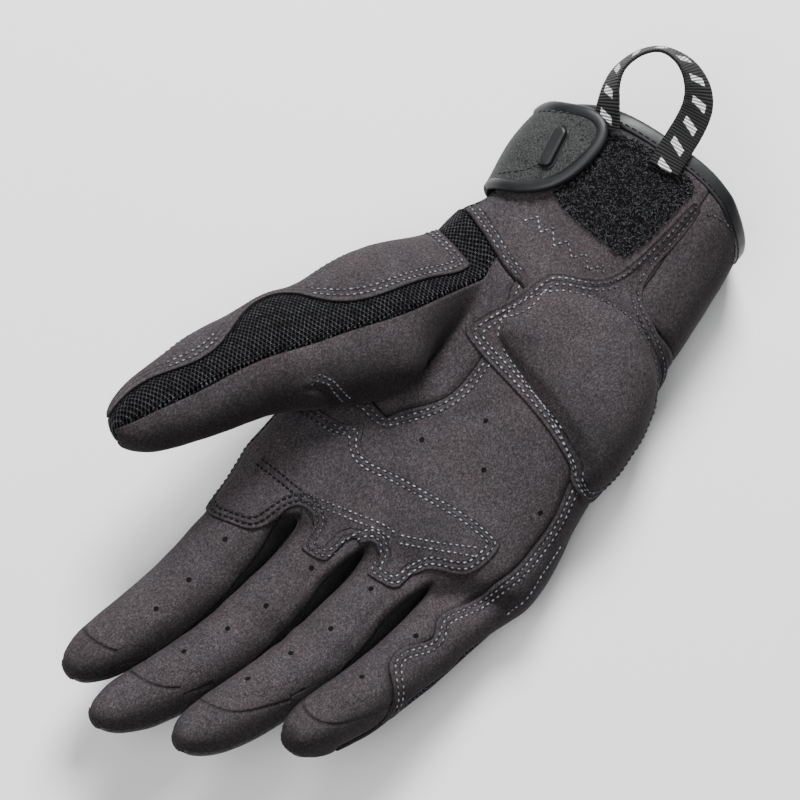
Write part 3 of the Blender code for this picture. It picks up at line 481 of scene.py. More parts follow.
# Single or double rows that follow no edge, in millimetres
DRAWN_ROWS = {
    "knuckle_patch": (
        ((-29.5, -44.6, 24.5), (-10.4, -42.7, 28.4), (2.0, -37.3, 28.4), (12.1, -33.4, 29.4), (17.7, -31.9, 28.3)),
        ((-29.5, -42.4, 24.5), (-10.4, -40.5, 28.4), (2.0, -35.1, 28.4), (12.1, -31.2, 29.4), (17.8, -29.8, 29.4)),
        ((17.8, -29.8, 29.4), (28.1, -23.2, 30.3), (37.5, -15.9, 30.0)),
        ((19.1, -31.8, 29.4), (28.9, -25.2, 30.3), (39.0, -18.0, 29.6)),
        ((-30.3, -22.0, 24.6), (-14.8, -19.6, 29.5)),
        ((-30.3, -24.0, 24.6), (-14.8, -21.8, 29.5)),
    ),
    "wrist_panel": (
        ((-23.0, 63.7, 36.2), (-20.7, 67.8, 37.1), (-16.9, 64.8, 37.3), (-14.9, 68.3, 38.0), (-11.0, 64.8, 37.8),
         (-8.8, 68.5, 38.4), (-4.3, 65.7, 38.1), (-2.1, 69.4, 38.6), (1.7, 66.4, 38.2), (4.1, 70.4, 38.6),
         (6.4, 68.4, 38.3)),
    ),
    "side_panel": (((53.1, 3.0, 21.7), (55.3, -7.9, 22.9), (56.1, -23.4, 18.6)),),
    "cuff_side_panel": (((15.2, 103.0, 41.5), (17.2, 104.6, 41.0), (20.3, 106.0, 39.6), (24.8, 106.0, 35.7),
                         (27.3, 103.5, 31.0), (28.3, 99.0, 26.0)),),
    "thumb_panel": (
        ((-22.0, -13.5, 39.5), (-24.5, -14.6, 44.5), (-27.1, -15.0, 47.6), (-29.7, -16.5, 49.3), (-31.5, -20.0, 49.3)),
        ((-21.4, -12.0, 39.5), (-23.6, -13.0, 44.8), (-26.4, -13.4, 48.4), (-30.4, -14.9, 50.2), (-32.6, -18.9, 50.2)),
    ),
}
# The padded middle of the heel patch, seen from above, in millimetres
PAD_OUTLINE = np.array([
    (-1.5, 32.1), (-5.5, 35.0), (-6.9, 41.6), (-3.9, 51.0), (1.0, 57.0), (10.7, 62.4), (18.1, 65.2),
    (29.4, 64.5), (38.2, 60.5), (45.0, 52.0), (49.5, 40.0), (51.0, 28.0), (49.0, 19.5), (43.1, 19.2),
    (29.7, 26.0), (9.4, 29.6),
])
# The seams across the fingertips, in millimetres
TIP_SEAMS = (
    ((-30.5, -111.5, 26.0), (-29.4, -114.2, 28.5), (-27.9, -116.2, 31.7), (-24.6, -117.2, 35.2), (-19.0, -116.0, 36.0),
     (-12.8, -111.9, 32.4), (-11.0, -109.0, 28.5)),
    ((-13.5, -110.5, 27.5), (-12.8, -114.2, 31.5), (-7.0, -115.6, 35.8), (-0.3, -113.6, 37.3), (4.2, -109.6, 35.2),
     (7.4, -103.5, 31.5)),
    ((6.0, -102.0, 27.5), (8.5, -105.9, 32.5), (13.9, -107.0, 40.2), (20.1, -104.4, 41.8), (24.2, -100.1, 39.6),
     (27.5, -93.4, 36.1), (29.6, -87.9, 32.5)),
    ((31.5, -81.5, 32.0), (34.6, -87.0, 40.3), (39.6, -88.2, 44.8), (44.6, -85.6, 43.8), (47.8, -80.4, 40.4),
     (50.5, -72.9, 35.7), (51.4, -68.6, 32.5)),
)
# Creases, in millimetres: how deep, how wide, and the line that each follows
CREASES = (
    (0.9, 2.6, ((-46.0, -14.0, 47.5), (-37.0, -2.0, 46.5), (-30.0, 6.0, 41.0), (-22.0, 10.0, 35.0))),
    (0.7, 2.0, ((-36.0, -12.0, 48.0), (-29.0, -4.0, 43.0), (-21.0, 2.0, 35.0))),
    (0.9, 1.1, ((-19.0, -14.0, 33.0), (-23.5, -16.4, 42.5), (-27.5, -17.2, 46.8), (-30.0, -19.5, 48.0))),
    (0.5, 1.4, ((-37.7, 58.4, 28.6), (-33.5, 62.5, 31.5), (-28.0, 61.0, 34.0))),
    (0.5, 1.2, ((-33.0, 69.5, 31.0), (-31.0, 64.5, 33.0), (-31.8, 61.5, 33.0))),
    (0.5, 1.2, ((-29.0, 71.0, 33.0), (-27.5, 66.0, 35.0), (-28.8, 62.5, 34.5))),
    (0.5, 1.2, ((-25.5, 72.0, 34.5), (-24.5, 67.5, 36.0), (-25.5, 64.0, 35.5))),
    (0.5, 3.0, ((-4.0, -4.0, 29.0), (6.0, 6.0, 30.0), (12.0, 20.0, 32.0))),
    (0.35, 2.6, ((-27.5, -72.0, 24.0), (-19.0, -75.5, 28.0), (-9.5, -73.0, 25.0))),
    (0.35, 2.6, ((-4.0, -76.0, 25.0), (4.0, -79.0, 29.0), (13.0, -76.0, 26.0))),
    (0.35, 2.6, ((14.0, -68.5, 26.0), (22.0, -71.0, 31.0), (31.0, -67.0, 28.0))),
    (0.30, 2.4, ((33.5, -58.5, 29.0), (41.5, -60.0, 34.0), (51.0, -55.0, 29.0))),
)
HOLES = np.array([
    (-18.5, -67.6, 27.0), (-17.1, -83.8, 29.0), (-17.3, -96.9, 31.7), (5.7, -55.3, 26.4), (4.6, -73.0, 28.1),
    (1.7, -85.9, 29.7), (-2.2, -100.0, 32.4), (23.0, -47.2, 27.3), (23.3, -64.3, 29.7), (20.5, -78.0, 31.9),
    (17.3, -92.4, 35.8), (42.7, -48.0, 30.0), (40.8, -68.5, 36.3), (1.9, -4.6, 28.6), (11.8, 12.7, 31.4),
    (21.9, 1.7, 31.2), (42.7, 4.6, 29.2),
]) / 1000

# The camera: where it looks, from which side and how far up, in degrees, and its lens
AIM = (-0.012, 0.0, 0.025)
CAMERA_SIDE, CAMERA_UP = 45.0, 78.0
DISTANCE, LENS = 0.909, 135.0


class GloveSizes(bpy.types.PropertyGroup):
    """Sizes of the leather, its seams and its thread"""
    stitch: bpy.props.FloatProperty(
        name="Stitch", description="One stitch and the gap after it", default=0.0020, unit="LENGTH")
    thread: bpy.props.FloatProperty(
        name="Thread", description="Thickness of the thread", default=0.00052, unit="LENGTH")
    first_row: bpy.props.FloatProperty(
        name="First row", description="From an edge to its first row of stitches", default=0.0016, unit="LENGTH")
    row_gap: bpy.props.FloatProperty(
        name="Row gap", description="From one row of a pair to the other", default=0.0018, unit="LENGTH")
    puff: bpy.props.FloatProperty(
        name="Puff", description="How far a cut piece stands up between its seams", default=0.0004, unit="LENGTH")
    seam_depth: bpy.props.FloatProperty(
        name="Seam depth", description="How deep the lower piece lies at a seam", default=0.0006, unit="LENGTH")
    lap: bpy.props.FloatProperty(
        name="Lap", description="How high the upper piece lies at a seam", default=0.00025, unit="LENGTH")
    patch: bpy.props.FloatProperty(
        name="Patch", description="How far a sewn-on patch stands up", default=0.0012, unit="LENGTH")
    pad: bpy.props.FloatProperty(
        name="Heel pad", description="How far the heel's foam stands up", default=0.0042, unit="LENGTH")
    hole: bpy.props.FloatProperty(
        name="Air hole", description="Width of the punched air holes", default=0.0015, unit="LENGTH")
    knit: bpy.props.FloatProperty(
        name="Knit pitch", description="From one hole of the knit to the next", default=0.0014, unit="LENGTH")
    bar: bpy.props.FloatProperty(
        name="Bar spacing", description="From one woven bar of the pull loop to the next", default=0.0075,
        unit="LENGTH")


def colour_property(name, description, default):
    return bpy.props.FloatVectorProperty(
        name=name, description=description, default=default, subtype="COLOR", size=3, min=0.0, max=1.0)


class GloveColours(bpy.types.PropertyGroup):
    """Colours of the glove's leather, cloth, rubber and thread"""
    suede: colour_property("Suede", "Dark warm grey of the suede", (0.0398, 0.0346, 0.0368))
    suede_patch: colour_property("Patch suede", "Slightly darker suede of the patches", (0.0372, 0.0328, 0.0355))
    thread: colour_property("Thread", "Cool grey of the stitches", (0.13, 0.135, 0.15))
    knit: colour_property("Knit", "Black of the knit", (0.0065, 0.0065, 0.007))
    stretch: colour_property("Stretch cloth", "Black between the fingers", (0.015, 0.015, 0.016))
    fleece: colour_property("Fleece", "Black of the closure's loops", (0.006, 0.006, 0.0065))
    woven: colour_property("Strap cloth", "Grey of the strap end", (0.0325, 0.0338, 0.0333))
    rubber: colour_property("Rubber", "Black of the bindings", (0.0065, 0.007, 0.008))
    webbing: colour_property("Webbing", "Black of the pull loop", (0.007, 0.007, 0.0075))
    bars: colour_property("Bars", "Pale bars woven into the pull loop", (0.60, 0.60, 0.62))


def sizes():
    return bpy.context.scene.glove_sizes


def colours():
    return bpy.context.scene.glove_colours


class Nodes:
    """Adds shader nodes to one tree, with their settings and what feeds them."""

    def __init__(self, tree):
        self.tree = tree

    def add(self, kind, inputs=(), **settings):
        node = self.tree.nodes.new(kind)
        for key, value in settings.items():
            setattr(node, key, value)
        for key, value in dict(inputs).items():
            if isinstance(value, bpy.types.NodeSocket):
                self.tree.links.new(value, node.inputs[key])
            else:
                node.inputs[key].default_value = value
        return node

    def math(self, operation, *values):
        return self.add("ShaderNodeMath", dict(enumerate(values)), operation=operation).outputs[0]

    def noise(self, vector, scale, detail=2.0, roughness=0.6):
        inputs = {"Vector": vector, "Scale": scale, "Detail": detail, "Roughness": roughness}
        return self.add("ShaderNodeTexNoise", inputs).outputs["Fac"]

    def fit(self, value, low, high, to_low, to_high, smooth=False):
        """value carried from the range low to high into the range to_low to to_high, and held there"""
        inputs = {"Value": value, "From Min": low, "From Max": high, "To Min": to_low, "To Max": to_high}
        kind = "SMOOTHSTEP" if smooth else "LINEAR"
        return self.add("ShaderNodeMapRange", inputs, interpolation_type=kind).outputs["Result"]

    def scaled(self, colour, factor):
        return self.add("ShaderNodeVectorMath", {0: colour, "Scale": factor}, operation="SCALE").outputs[0]

    def bell(self, value, middle, width):
        """exp(-((value - middle) / width)^2)"""
        away = self.math("DIVIDE", self.math("SUBTRACT", value, middle), width)
        return self.math("EXPONENT", self.math("MULTIPLY", self.math("MULTIPLY", away, away), -1.0))


def new_group(name, inputs, outputs):
    """An empty node group with these sockets, and the nodes that reach them."""
    tree = bpy.data.node_groups.new(name, "ShaderNodeTree")
    for socket, kind in inputs:
        tree.interface.new_socket(socket, in_out="INPUT", socket_type=kind)
    for socket, kind in outputs:
        tree.interface.new_socket(socket, in_out="OUTPUT", socket_type=kind)
    return tree, tree.nodes.new("NodeGroupInput").outputs, tree.nodes.new("NodeGroupOutput").inputs


FLOAT, COLOUR, VECTOR = "NodeSocketFloat", "NodeSocketColor", "NodeSocketVector"
COOL_DYE, WARM_DYE = (0.975, 1.0, 1.02, 1.0), (1.03, 0.99, 0.985, 1.0)
# Painted shade on the suede: leather that slopes away from this way, up and toward the thumb and the cuff, is painted
# darker
PAINTED_LIGHT_FROM = (-0.30, 0.28, 0.91)


@functools.lru_cache(maxsize=None)
def nap_group():
    """Suede's nap: short fibres in fine grains, brushed patches, and slow blotches of wear."""
    tree, given, out = new_group(
        "suede_nap", [("Place", VECTOR), ("Colour", COLOUR), ("Grain", FLOAT), ("Blotch", FLOAT)],
        [("Colour", COLOUR), ("Height", FLOAT)])
    nodes = Nodes(tree)
    combed = nodes.add("ShaderNodeMapping", {"Vector": given["Place"], "Rotation": (0.0, 0.0, 0.5),
                                             "Scale": (1.0, 0.6, 0.8)}).outputs["Vector"]
    fibre = nodes.noise(combed, 2500.0, 2.0, 0.6)
    tuft = nodes.noise(given["Place"], 900.0, 3.0, 0.65)
    brushed = nodes.noise(given["Place"], 110.0, 4.0, 0.6)
    wear_and_painted_shade = nodes.noise(given["Place"], 28.0, 2.0, 0.5)
    fine = nodes.math("ADD", nodes.fit(fibre, 0.3, 0.7, -1.0, 1.0), nodes.fit(tuft, 0.3, 0.7, -0.45, 0.45))
    slow = nodes.math("ADD", nodes.math("SUBTRACT", brushed, 0.5),
                      nodes.math("MULTIPLY", nodes.math("SUBTRACT", wear_and_painted_shade, 0.5), 1.2))
    sum_of = nodes.math("ADD", nodes.math("MULTIPLY", fine, given["Grain"]),
                        nodes.math("MULTIPLY", slow, given["Blotch"]))
    dye = nodes.add("ShaderNodeMix", data_type="RGBA")
    tree.links.new(nodes.fit(nodes.noise(given["Place"], 45.0, 3.0, 0.6), 0.35, 0.65, 0.0, 1.0), dye.inputs[0])
    dye.inputs[6].default_value, dye.inputs[7].default_value = COOL_DYE, WARM_DYE
    dyed = nodes.add("ShaderNodeVectorMath", {0: given["Colour"], 1: dye.outputs[2]}, operation="MULTIPLY").outputs[0]
    tree.links.new(nodes.scaled(dyed, nodes.math("EXPONENT", sum_of)), out["Colour"])
    tree.links.new(nodes.math("ADD", nodes.math("MULTIPLY", fibre, 0.6), tuft), out["Height"])
    return tree


@functools.lru_cache(maxsize=None)
def edge_group():
    """What the distance to an edge, in millimetres, does: painted shade darkens the edge where it tucks under
    and along two rows of thread, which also pull grooves into the leather."""
    tree, given, out = new_group(
        "sewn_edge", [("Edge", FLOAT), ("Rows", FLOAT), ("First", FLOAT), ("Gap", FLOAT)],
        [("Shade", FLOAT), ("Height", FLOAT)])
    nodes = Nodes(tree)
    second = nodes.math("ADD", given["First"], given["Gap"])
    rows = nodes.math("ADD", nodes.bell(given["Edge"], given["First"], 0.42),
                      nodes.bell(given["Edge"], second, 0.42))
    rows = nodes.math("MULTIPLY", rows, given["Rows"])
    # Painted shade: darker where the edge tucks under and along the grooves of the two rows
    tucked_shade = nodes.bell(given["Edge"], 0.0, 0.3)
    shade = nodes.math("ADD", nodes.math("MULTIPLY", rows, 0.22), nodes.math("MULTIPLY", tucked_shade, 0.35))
    tree.links.new(nodes.math("SUBTRACT", 1.0, shade), out["Shade"])
    tree.links.new(nodes.math("MULTIPLY", rows, -1.0), out["Height"])
    return tree


@functools.lru_cache(maxsize=None)
def knit_group():
    """Open knit: holes in staggered columns, and between the holes of a column two short strands that
    meet in a V, each pair with its own strength, which gives its height and its painted glint. Place is in millimetres
    across and along the cloth."""
    tree, given, out = new_group(
        "open_knit", [("Place", VECTOR), ("Across", FLOAT), ("Along", FLOAT), ("Open", FLOAT)],
        [("Yarn", FLOAT), ("Strand", FLOAT), ("Height", FLOAT)])
    nodes = Nodes(tree)
    parts = nodes.add("ShaderNodeSeparateXYZ", {"Vector": given["Place"]})
    across = nodes.math("DIVIDE", parts.outputs["X"], given["Across"])
    column = nodes.math("FLOOR", across)
    stagger = nodes.math("MULTIPLY", nodes.math("FLOORED_MODULO", column, 2.0), 0.5)
    along = nodes.math("ADD", nodes.math("DIVIDE", parts.outputs["Y"], given["Along"]), stagger)
    x = nodes.math("ABSOLUTE", nodes.math("SUBTRACT", nodes.math("FRACT", across), 0.5))
    y = nodes.math("ABSOLUTE", nodes.math("SUBTRACT", nodes.math("FRACT", along), 0.5))
    away = nodes.math("SQRT", nodes.math("ADD", nodes.math("MULTIPLY", x, x), nodes.math("MULTIPLY", y, y)))
    yarn = nodes.fit(nodes.math("SUBTRACT", away, given["Open"]), -0.08, 0.10, 0.0, 1.0, smooth=True)
    spread = nodes.math("MULTIPLY", nodes.math("SUBTRACT", 0.5, y), 0.8)
    strand = nodes.bell(nodes.math("SUBTRACT", x, spread), 0.12, 0.10)
    strand = nodes.math("MULTIPLY", strand, nodes.bell(y, 0.40, 0.15))
    pair = nodes.add("ShaderNodeCombineXYZ", {0: column, 1: nodes.math("ROUND", along)}).outputs[0]
    chance = nodes.add("ShaderNodeTexWhiteNoise", {"Vector": pair}).outputs["Value"]
    strand = nodes.math("MULTIPLY", strand, nodes.fit(chance, 0.0, 1.0, 0.15, 1.0))
    tree.links.new(yarn, out["Yarn"])
    tree.links.new(strand, out["Strand"])
    tree.links.new(nodes.math("ADD", yarn, nodes.math("MULTIPLY", strand, 0.8)), out["Height"])
    return tree


def new_material(name, sheen=0.0, specular=0.5, sheen_tint=(1.0, 1.0, 1.0), coat=0.0):
    """A material with its shader's plain values set, and the nodes to build the rest."""
    material = bpy.data.materials.new(name)
    material.use_nodes = True
    shader = material.node_tree.nodes["Principled BSDF"]
    shader.inputs["Sheen Weight"].default_value = sheen
    shader.inputs["Sheen Roughness"].default_value = 0.45
    shader.inputs["Sheen Tint"].default_value = (*sheen_tint, 1.0)
    shader.inputs["Specular IOR Level"].default_value = specular
    shader.inputs["Coat Weight"].default_value = coat
    return material, shader.inputs, Nodes(material.node_tree)


def bump(nodes, height, distance, strength=1.0):
    inputs = {"Height": height, "Distance": distance, "Strength": strength}
    return nodes.add("ShaderNodeBump", inputs).outputs["Normal"]


def object_place(nodes):
    return nodes.add("ShaderNodeTexCoord").outputs["Object"]


def attribute(nodes, name):
    return nodes.add("ShaderNodeAttribute", attribute_name=name).outputs["Fac"]


@functools.lru_cache(maxsize=None)
def suede(name):
    """Napped suede with grooves along its rows of stitches. name is one of the suede colours. Painted shade
    darkens the leather where it slopes away from the light, at its edges, along its rows of stitches and in its
    fingertip seams."""
    material, shader, nodes = new_material(name, sheen=0.05, specular=0.08, sheen_tint=(0.80, 0.74, 0.78))
    link = nodes.tree.links.new
    base = (*getattr(colours(), name), 1.0)
    nap = nodes.add("ShaderNodeGroup", node_tree=nap_group())
    link(object_place(nodes), nap.inputs["Place"])
    nap.inputs["Colour"].default_value = base
    nap.inputs["Grain"].default_value = 0.62
    nap.inputs["Blotch"].default_value = 0.45
    edge = nodes.add("ShaderNodeGroup", node_tree=edge_group())
    link(attribute(nodes, "edge"), edge.inputs["Edge"])
    link(attribute(nodes, "rows"), edge.inputs["Rows"])
    edge.inputs["First"].default_value = sizes().first_row * 1000
    edge.inputs["Gap"].default_value = sizes().row_gap * 1000
    # Painted shade in the groove of the fingertip seams, which the bump also sinks
    tip = nodes.bell(attribute(nodes, "tip"), 0.0, 0.45)
    shade = nodes.math("MULTIPLY", edge.outputs["Shade"],
                       nodes.math("SUBTRACT", 1.0, nodes.math("MULTIPLY", tip, 0.45)))
    # Painted shade: darker where the leather slopes away from the light
    facing_light = nodes.add("ShaderNodeVectorMath", {0: nodes.add("ShaderNodeNewGeometry").outputs["Normal"],
                                                1: PAINTED_LIGHT_FROM}, operation="DOT_PRODUCT").outputs["Value"]
    shade = nodes.math("MULTIPLY", shade, nodes.fit(facing_light, 0.30, 0.94, 0.46, 1.0, smooth=True))
    link(nodes.scaled(nap.outputs["Colour"], shade), shader["Base Color"])
    shader["Roughness"].default_value = 0.95
    height = nodes.math("ADD", nodes.math("MULTIPLY", nap.outputs["Height"], 0.30),
                        nodes.math("MULTIPLY", edge.outputs["Height"], 0.75))
    height = nodes.math("SUBTRACT", height, nodes.math("MULTIPLY", tip, 1.6))
    link(bump(nodes, height, 0.0004), shader["Normal"])
    return material


@functools.lru_cache(maxsize=None)
def knit():
    """Black open knit, with painted glints on its yarns, and its uncut holes painted near black for the lining and the
    shade seen through them.
    """
    material, shader, nodes = new_material("mesh_fabric", sheen=0.0, specular=0.04)
    link = nodes.tree.links.new
    flat = nodes.add("ShaderNodeUVMap", uv_map="flat").outputs["UV"]
    weave = nodes.add("ShaderNodeGroup", node_tree=knit_group())
    link(flat, weave.inputs["Place"])
    weave.inputs["Across"].default_value = sizes().knit * 1000 * 0.85
    weave.inputs["Along"].default_value = sizes().knit * 1000
    weave.inputs["Open"].default_value = 0.27
    # Painted glints on the strands; the holes, which are not cut, are painted darker than the yarn for the lining and
    # the shade seen through them
    painted_glint = nodes.fit(nodes.noise(object_place(nodes), 1500.0, 3.0, 0.7), 0.35, 0.70, 8.0, 42.0)
    tone = nodes.math("ADD", nodes.fit(weave.outputs["Yarn"], 0.0, 1.0, 0.1, 0.45),
                      nodes.math("MULTIPLY", weave.outputs["Strand"], painted_glint))
    link(nodes.scaled((*colours().knit, ), tone), shader["Base Color"])
    shader["Roughness"].default_value = 0.7
    link(bump(nodes, weave.outputs["Height"], 0.00045), shader["Normal"])
    return material


@functools.lru_cache(maxsize=None)
def stretch_cloth():
    """Black stretch cloth with fine ribs along the finger."""
    material, shader, nodes = new_material("stretch_fabric", sheen=0.02, specular=0.2)
    link = nodes.tree.links.new
    flat = nodes.add("ShaderNodeUVMap", uv_map="flat").outputs["UV"]
    parts = nodes.add("ShaderNodeSeparateXYZ", {"Vector": flat})
    rib = nodes.math("SINE", nodes.math("MULTIPLY", parts.outputs["X"], 2 * math.pi / 0.9))
    cloth = nodes.noise(object_place(nodes), 900.0, 3.0, 0.7)
    tone = nodes.fit(nodes.math("ADD", nodes.math("MULTIPLY", rib, 0.16), cloth), 0.25, 0.8, 0.35, 2.2)
    link(nodes.scaled((*colours().stretch, ), tone), shader["Base Color"])
    shader["Roughness"].default_value = 0.6
    link(bump(nodes, nodes.math("ADD", nodes.math("MULTIPLY", rib, 0.5), cloth), 0.00012), shader["Normal"])
    return material


@functools.lru_cache(maxsize=None)
def fleece(name="fleece", painted_glint=0.0):
    """Black looped fleece. Some of its loops carry a painted glint in their colour."""
    material, shader, nodes = new_material(name, sheen=0.0, specular=0.08)
    link = nodes.tree.links.new
    fluff = nodes.noise(object_place(nodes), 1300.0, 3.0, 0.75)
    tone = nodes.fit(fluff, 0.35, 0.75, 0.2, 2.2)
    # Painted glint on the loops that are marked for it
    if painted_glint:
        tone = nodes.math("ADD", tone, nodes.math("MULTIPLY", attribute(nodes, "painted_gleam"), painted_glint))
    link(nodes.scaled((*colours().fleece, ), tone), shader["Base Color"])
    shader["Roughness"].default_value = 0.7
    link(bump(nodes, fluff, 0.0006), shader["Normal"])
    return material


@functools.lru_cache(maxsize=None)
def strap_cloth():
    """Dense green grey cloth with a felted face, painted darker near its edge as painted shade."""
    material, shader, nodes = new_material("woven", sheen=0.05, specular=0.12)
    link = nodes.tree.links.new
    place = object_place(nodes)
    fine = nodes.noise(place, 1700.0, 2.0, 0.6)
    slow = nodes.noise(place, 160.0, 3.0, 0.6)
    # Painted shade: the cloth darkens within about a millimetre of its edge
    edge = nodes.bell(attribute(nodes, "edge"), 0.0, 0.9)
    tone = nodes.math("ADD", nodes.fit(fine, 0.3, 0.7, 0.25, 1.75), nodes.fit(slow, 0.3, 0.7, -0.15, 0.15))
    tone = nodes.math("MULTIPLY", tone, nodes.fit(edge, 0.0, 1.0, 1.0, 0.55))
    link(nodes.scaled((*colours().woven, ), tone), shader["Base Color"])
    shader["Roughness"].default_value = 0.9
    link(bump(nodes, fine, 0.00025), shader["Normal"])
    return material


@functools.lru_cache(maxsize=None)
def rubber(name="rubber"):
    """Black rubber binding: half gloss, with a fine leathery grain and dull marks of handling."""
    material, shader, nodes = new_material(name, specular=0.38)
    link = nodes.tree.links.new
    place = object_place(nodes)
    grain = nodes.noise(place, 1900.0, 2.0, 0.5)
    marks = nodes.noise(place, 90.0, 4.0, 0.6)
    link(nodes.scaled((*colours().rubber, ), nodes.fit(marks, 0.3, 0.7, 0.8, 1.3)), shader["Base Color"])
    link(nodes.fit(marks, 0.3, 0.7, 0.38, 0.52), shader["Roughness"])
    link(bump(nodes, grain, 0.00004), shader["Normal"])
    return material


@functools.lru_cache(maxsize=None)
def webbing():
    """Ribbed webbing, its ribs across the width, with plain slanted bars woven into the middle."""
    material, shader, nodes = new_material("webbing", sheen=0.0, specular=0.3)
    link = nodes.tree.links.new
    flat = nodes.add("ShaderNodeUVMap", uv_map="flat").outputs["UV"]
    parts = nodes.add("ShaderNodeSeparateXYZ", {"Vector": flat})
    across, along = parts.outputs["X"], parts.outputs["Y"]
    rib = nodes.math("SINE", nodes.math("MULTIPLY", along, 2 * math.pi / 0.95))
    ribbed = nodes.fit(rib, -1.0, 1.0, 0.35, 1.5)
    slanted = nodes.math("DIVIDE", nodes.math("ADD", along, nodes.math("MULTIPLY", across, 0.5)),
                         sizes().bar * 1000)
    stripe = nodes.math("ABSOLUTE", nodes.math("SUBTRACT", nodes.math("FRACT", slanted), 0.5))
    stripe = nodes.fit(stripe, 0.15, 0.17, 1.0, 0.0, smooth=True)
    middle = nodes.fit(nodes.math("ABSOLUTE", across), 2.3, 2.5, 1.0, 0.0, smooth=True)
    mask = nodes.math("MULTIPLY", stripe, middle)
    mixed = nodes.add("ShaderNodeMix", data_type="RGBA")
    link(mask, mixed.inputs[0])
    mixed.inputs[6].default_value = (*colours().webbing, 1.0)
    mixed.inputs[7].default_value = (*colours().bars, 1.0)
    link(nodes.scaled(mixed.outputs[2], ribbed), shader["Base Color"])
    shader["Roughness"].default_value = 0.62
    link(bump(nodes, rib, 0.00022), shader["Normal"])
    return material


@functools.lru_cache(maxsize=None)
def thread(name="thread", shade=1.0, wear_and_painted_shade=False):
    """Twisted thread, near black but for a painted highlight along its top, which fades where it dives into
    the leather. Thread with painted shade by place loses that highlight toward the index finger and keeps about a third
    of it toward the cuff on the little finger's side."""
    material, shader, nodes = new_material(name, sheen=0.0, specular=0.2)
    link = nodes.tree.links.new
    place = object_place(nodes)
    strands = nodes.noise(place, 3800.0, 2.0, 0.6)
    painted_gleam = attribute(nodes, "painted_gleam")
    if wear_and_painted_shade:
        # Painted shade by place: no highlight toward the index finger, about a third of it toward the cuff on the
        # little finger's side
        parts = nodes.add("ShaderNodeSeparateXYZ", {"Vector": place})
        diagonal = nodes.math("ADD", parts.outputs["X"], parts.outputs["Y"])
        painted_gleam = nodes.math("MULTIPLY", painted_gleam, nodes.fit(diagonal, -0.060, -0.022, 0.0, 1.0, smooth=True))
        painted_gleam = nodes.math("MULTIPLY", painted_gleam, nodes.fit(diagonal, 0.052, 0.074, 1.0, 0.35, smooth=True))
        shader["Specular IOR Level"].default_value = 0.12
    base = tuple(value * shade for value in colours().thread)
    # Near black thread with the painted highlight added to its colour
    tone = nodes.math("MULTIPLY", nodes.math("ADD", nodes.math("MULTIPLY", painted_gleam, 3.4), 0.03),
                      nodes.fit(strands, 0.3, 0.7, 0.7, 1.3))
    link(nodes.scaled(base, tone), shader["Base Color"])
    shader["Roughness"].default_value = 0.6
    link(bump(nodes, strands, 0.00008), shader["Normal"])
    return material


@functools.lru_cache(maxsize=None)
def hole_lining_and_shade():
    """What is seen through an air hole: near black, for the lining and the painted shade inside the hole."""
    material, shader, nodes = new_material("air_hole", specular=0.1)
    tone = nodes.fit(nodes.noise(object_place(nodes), 1500.0), 0.3, 0.7, 0.4, 1.2)
    nodes.tree.links.new(nodes.scaled((0.006, 0.006, 0.006), tone), shader["Base Color"])
    shader["Roughness"].default_value = 0.95
    return material


def new_piece(name, points, faces, material, stands_for=(), values=None, flat=None, crisp=0):
    """A piece of the glove that rides on its body and stands for the solids named. values are numbers
    kept at its points, flat is each point's place on the cloth in millimetres, and the last crisp faces
    aren't smoothed into the others."""
    mesh = bpy.data.meshes.new(name)
    mesh.from_pydata(np.asarray(points).tolist(), [], [list(face) for face in faces])
    mesh.polygons.foreach_set("use_smooth", np.arange(len(mesh.polygons)) < len(mesh.polygons) - crisp)
    for key, value in (values or {}).items():
        mesh.attributes.new(key, "FLOAT", "POINT").data.foreach_set("value", np.asarray(value, np.float32))
    if flat is not None:
        corners = np.empty(len(mesh.loops), np.int32)
        mesh.loops.foreach_get("vertex_index", corners)
        mesh.uv_layers.new(name="flat").data.foreach_set("uv", flat[corners].ravel())
    mesh.materials.append(material)
    mesh.update()
    piece = bpy.data.objects.new(name, mesh)
    bpy.context.scene.collection.objects.link(piece)
    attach(piece, "root")
    if stands_for:
        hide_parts(*stands_for)
    return piece


def distance_to(points, starts, ends):
    """How far each point is from the nearest of some straight pieces, and which piece that is: the
    point is dropped onto each piece, held between its ends, and the shortest drop is kept."""
    run = ends - starts
    size = (run**2).sum(axis=1) + 1e-18
    away, nearest = np.empty(len(points)), np.empty(len(points), int)
    for first in range(0, len(points), 1200):
        part = slice(first, first + 1200)
        to = points[part, None] - starts
        share = np.clip((to * run).sum(axis=2) / size, 0, 1)
        squares = ((to - share[..., None] * run) ** 2).sum(axis=2)
        nearest[part] = squares.argmin(axis=1)
        away[part] = np.sqrt(squares.min(axis=1))
    return away, nearest


def distance_to_line(points, line, closed=False):
    after = np.roll(line, -1, axis=0) if closed else line[1:]
    return distance_to(points, line if closed else line[:-1], after)[0]


def limit_points(obj, count):
    """Where the smooth surface passes for each of the first count points of a net."""
    surface = obj.evaluated_get(bpy.context.evaluated_depsgraph_get()).data
    points = np.empty(len(surface.vertices) * 3)
    surface.vertices.foreach_get("co", points)
    return points.reshape(-1, 3)[:count]


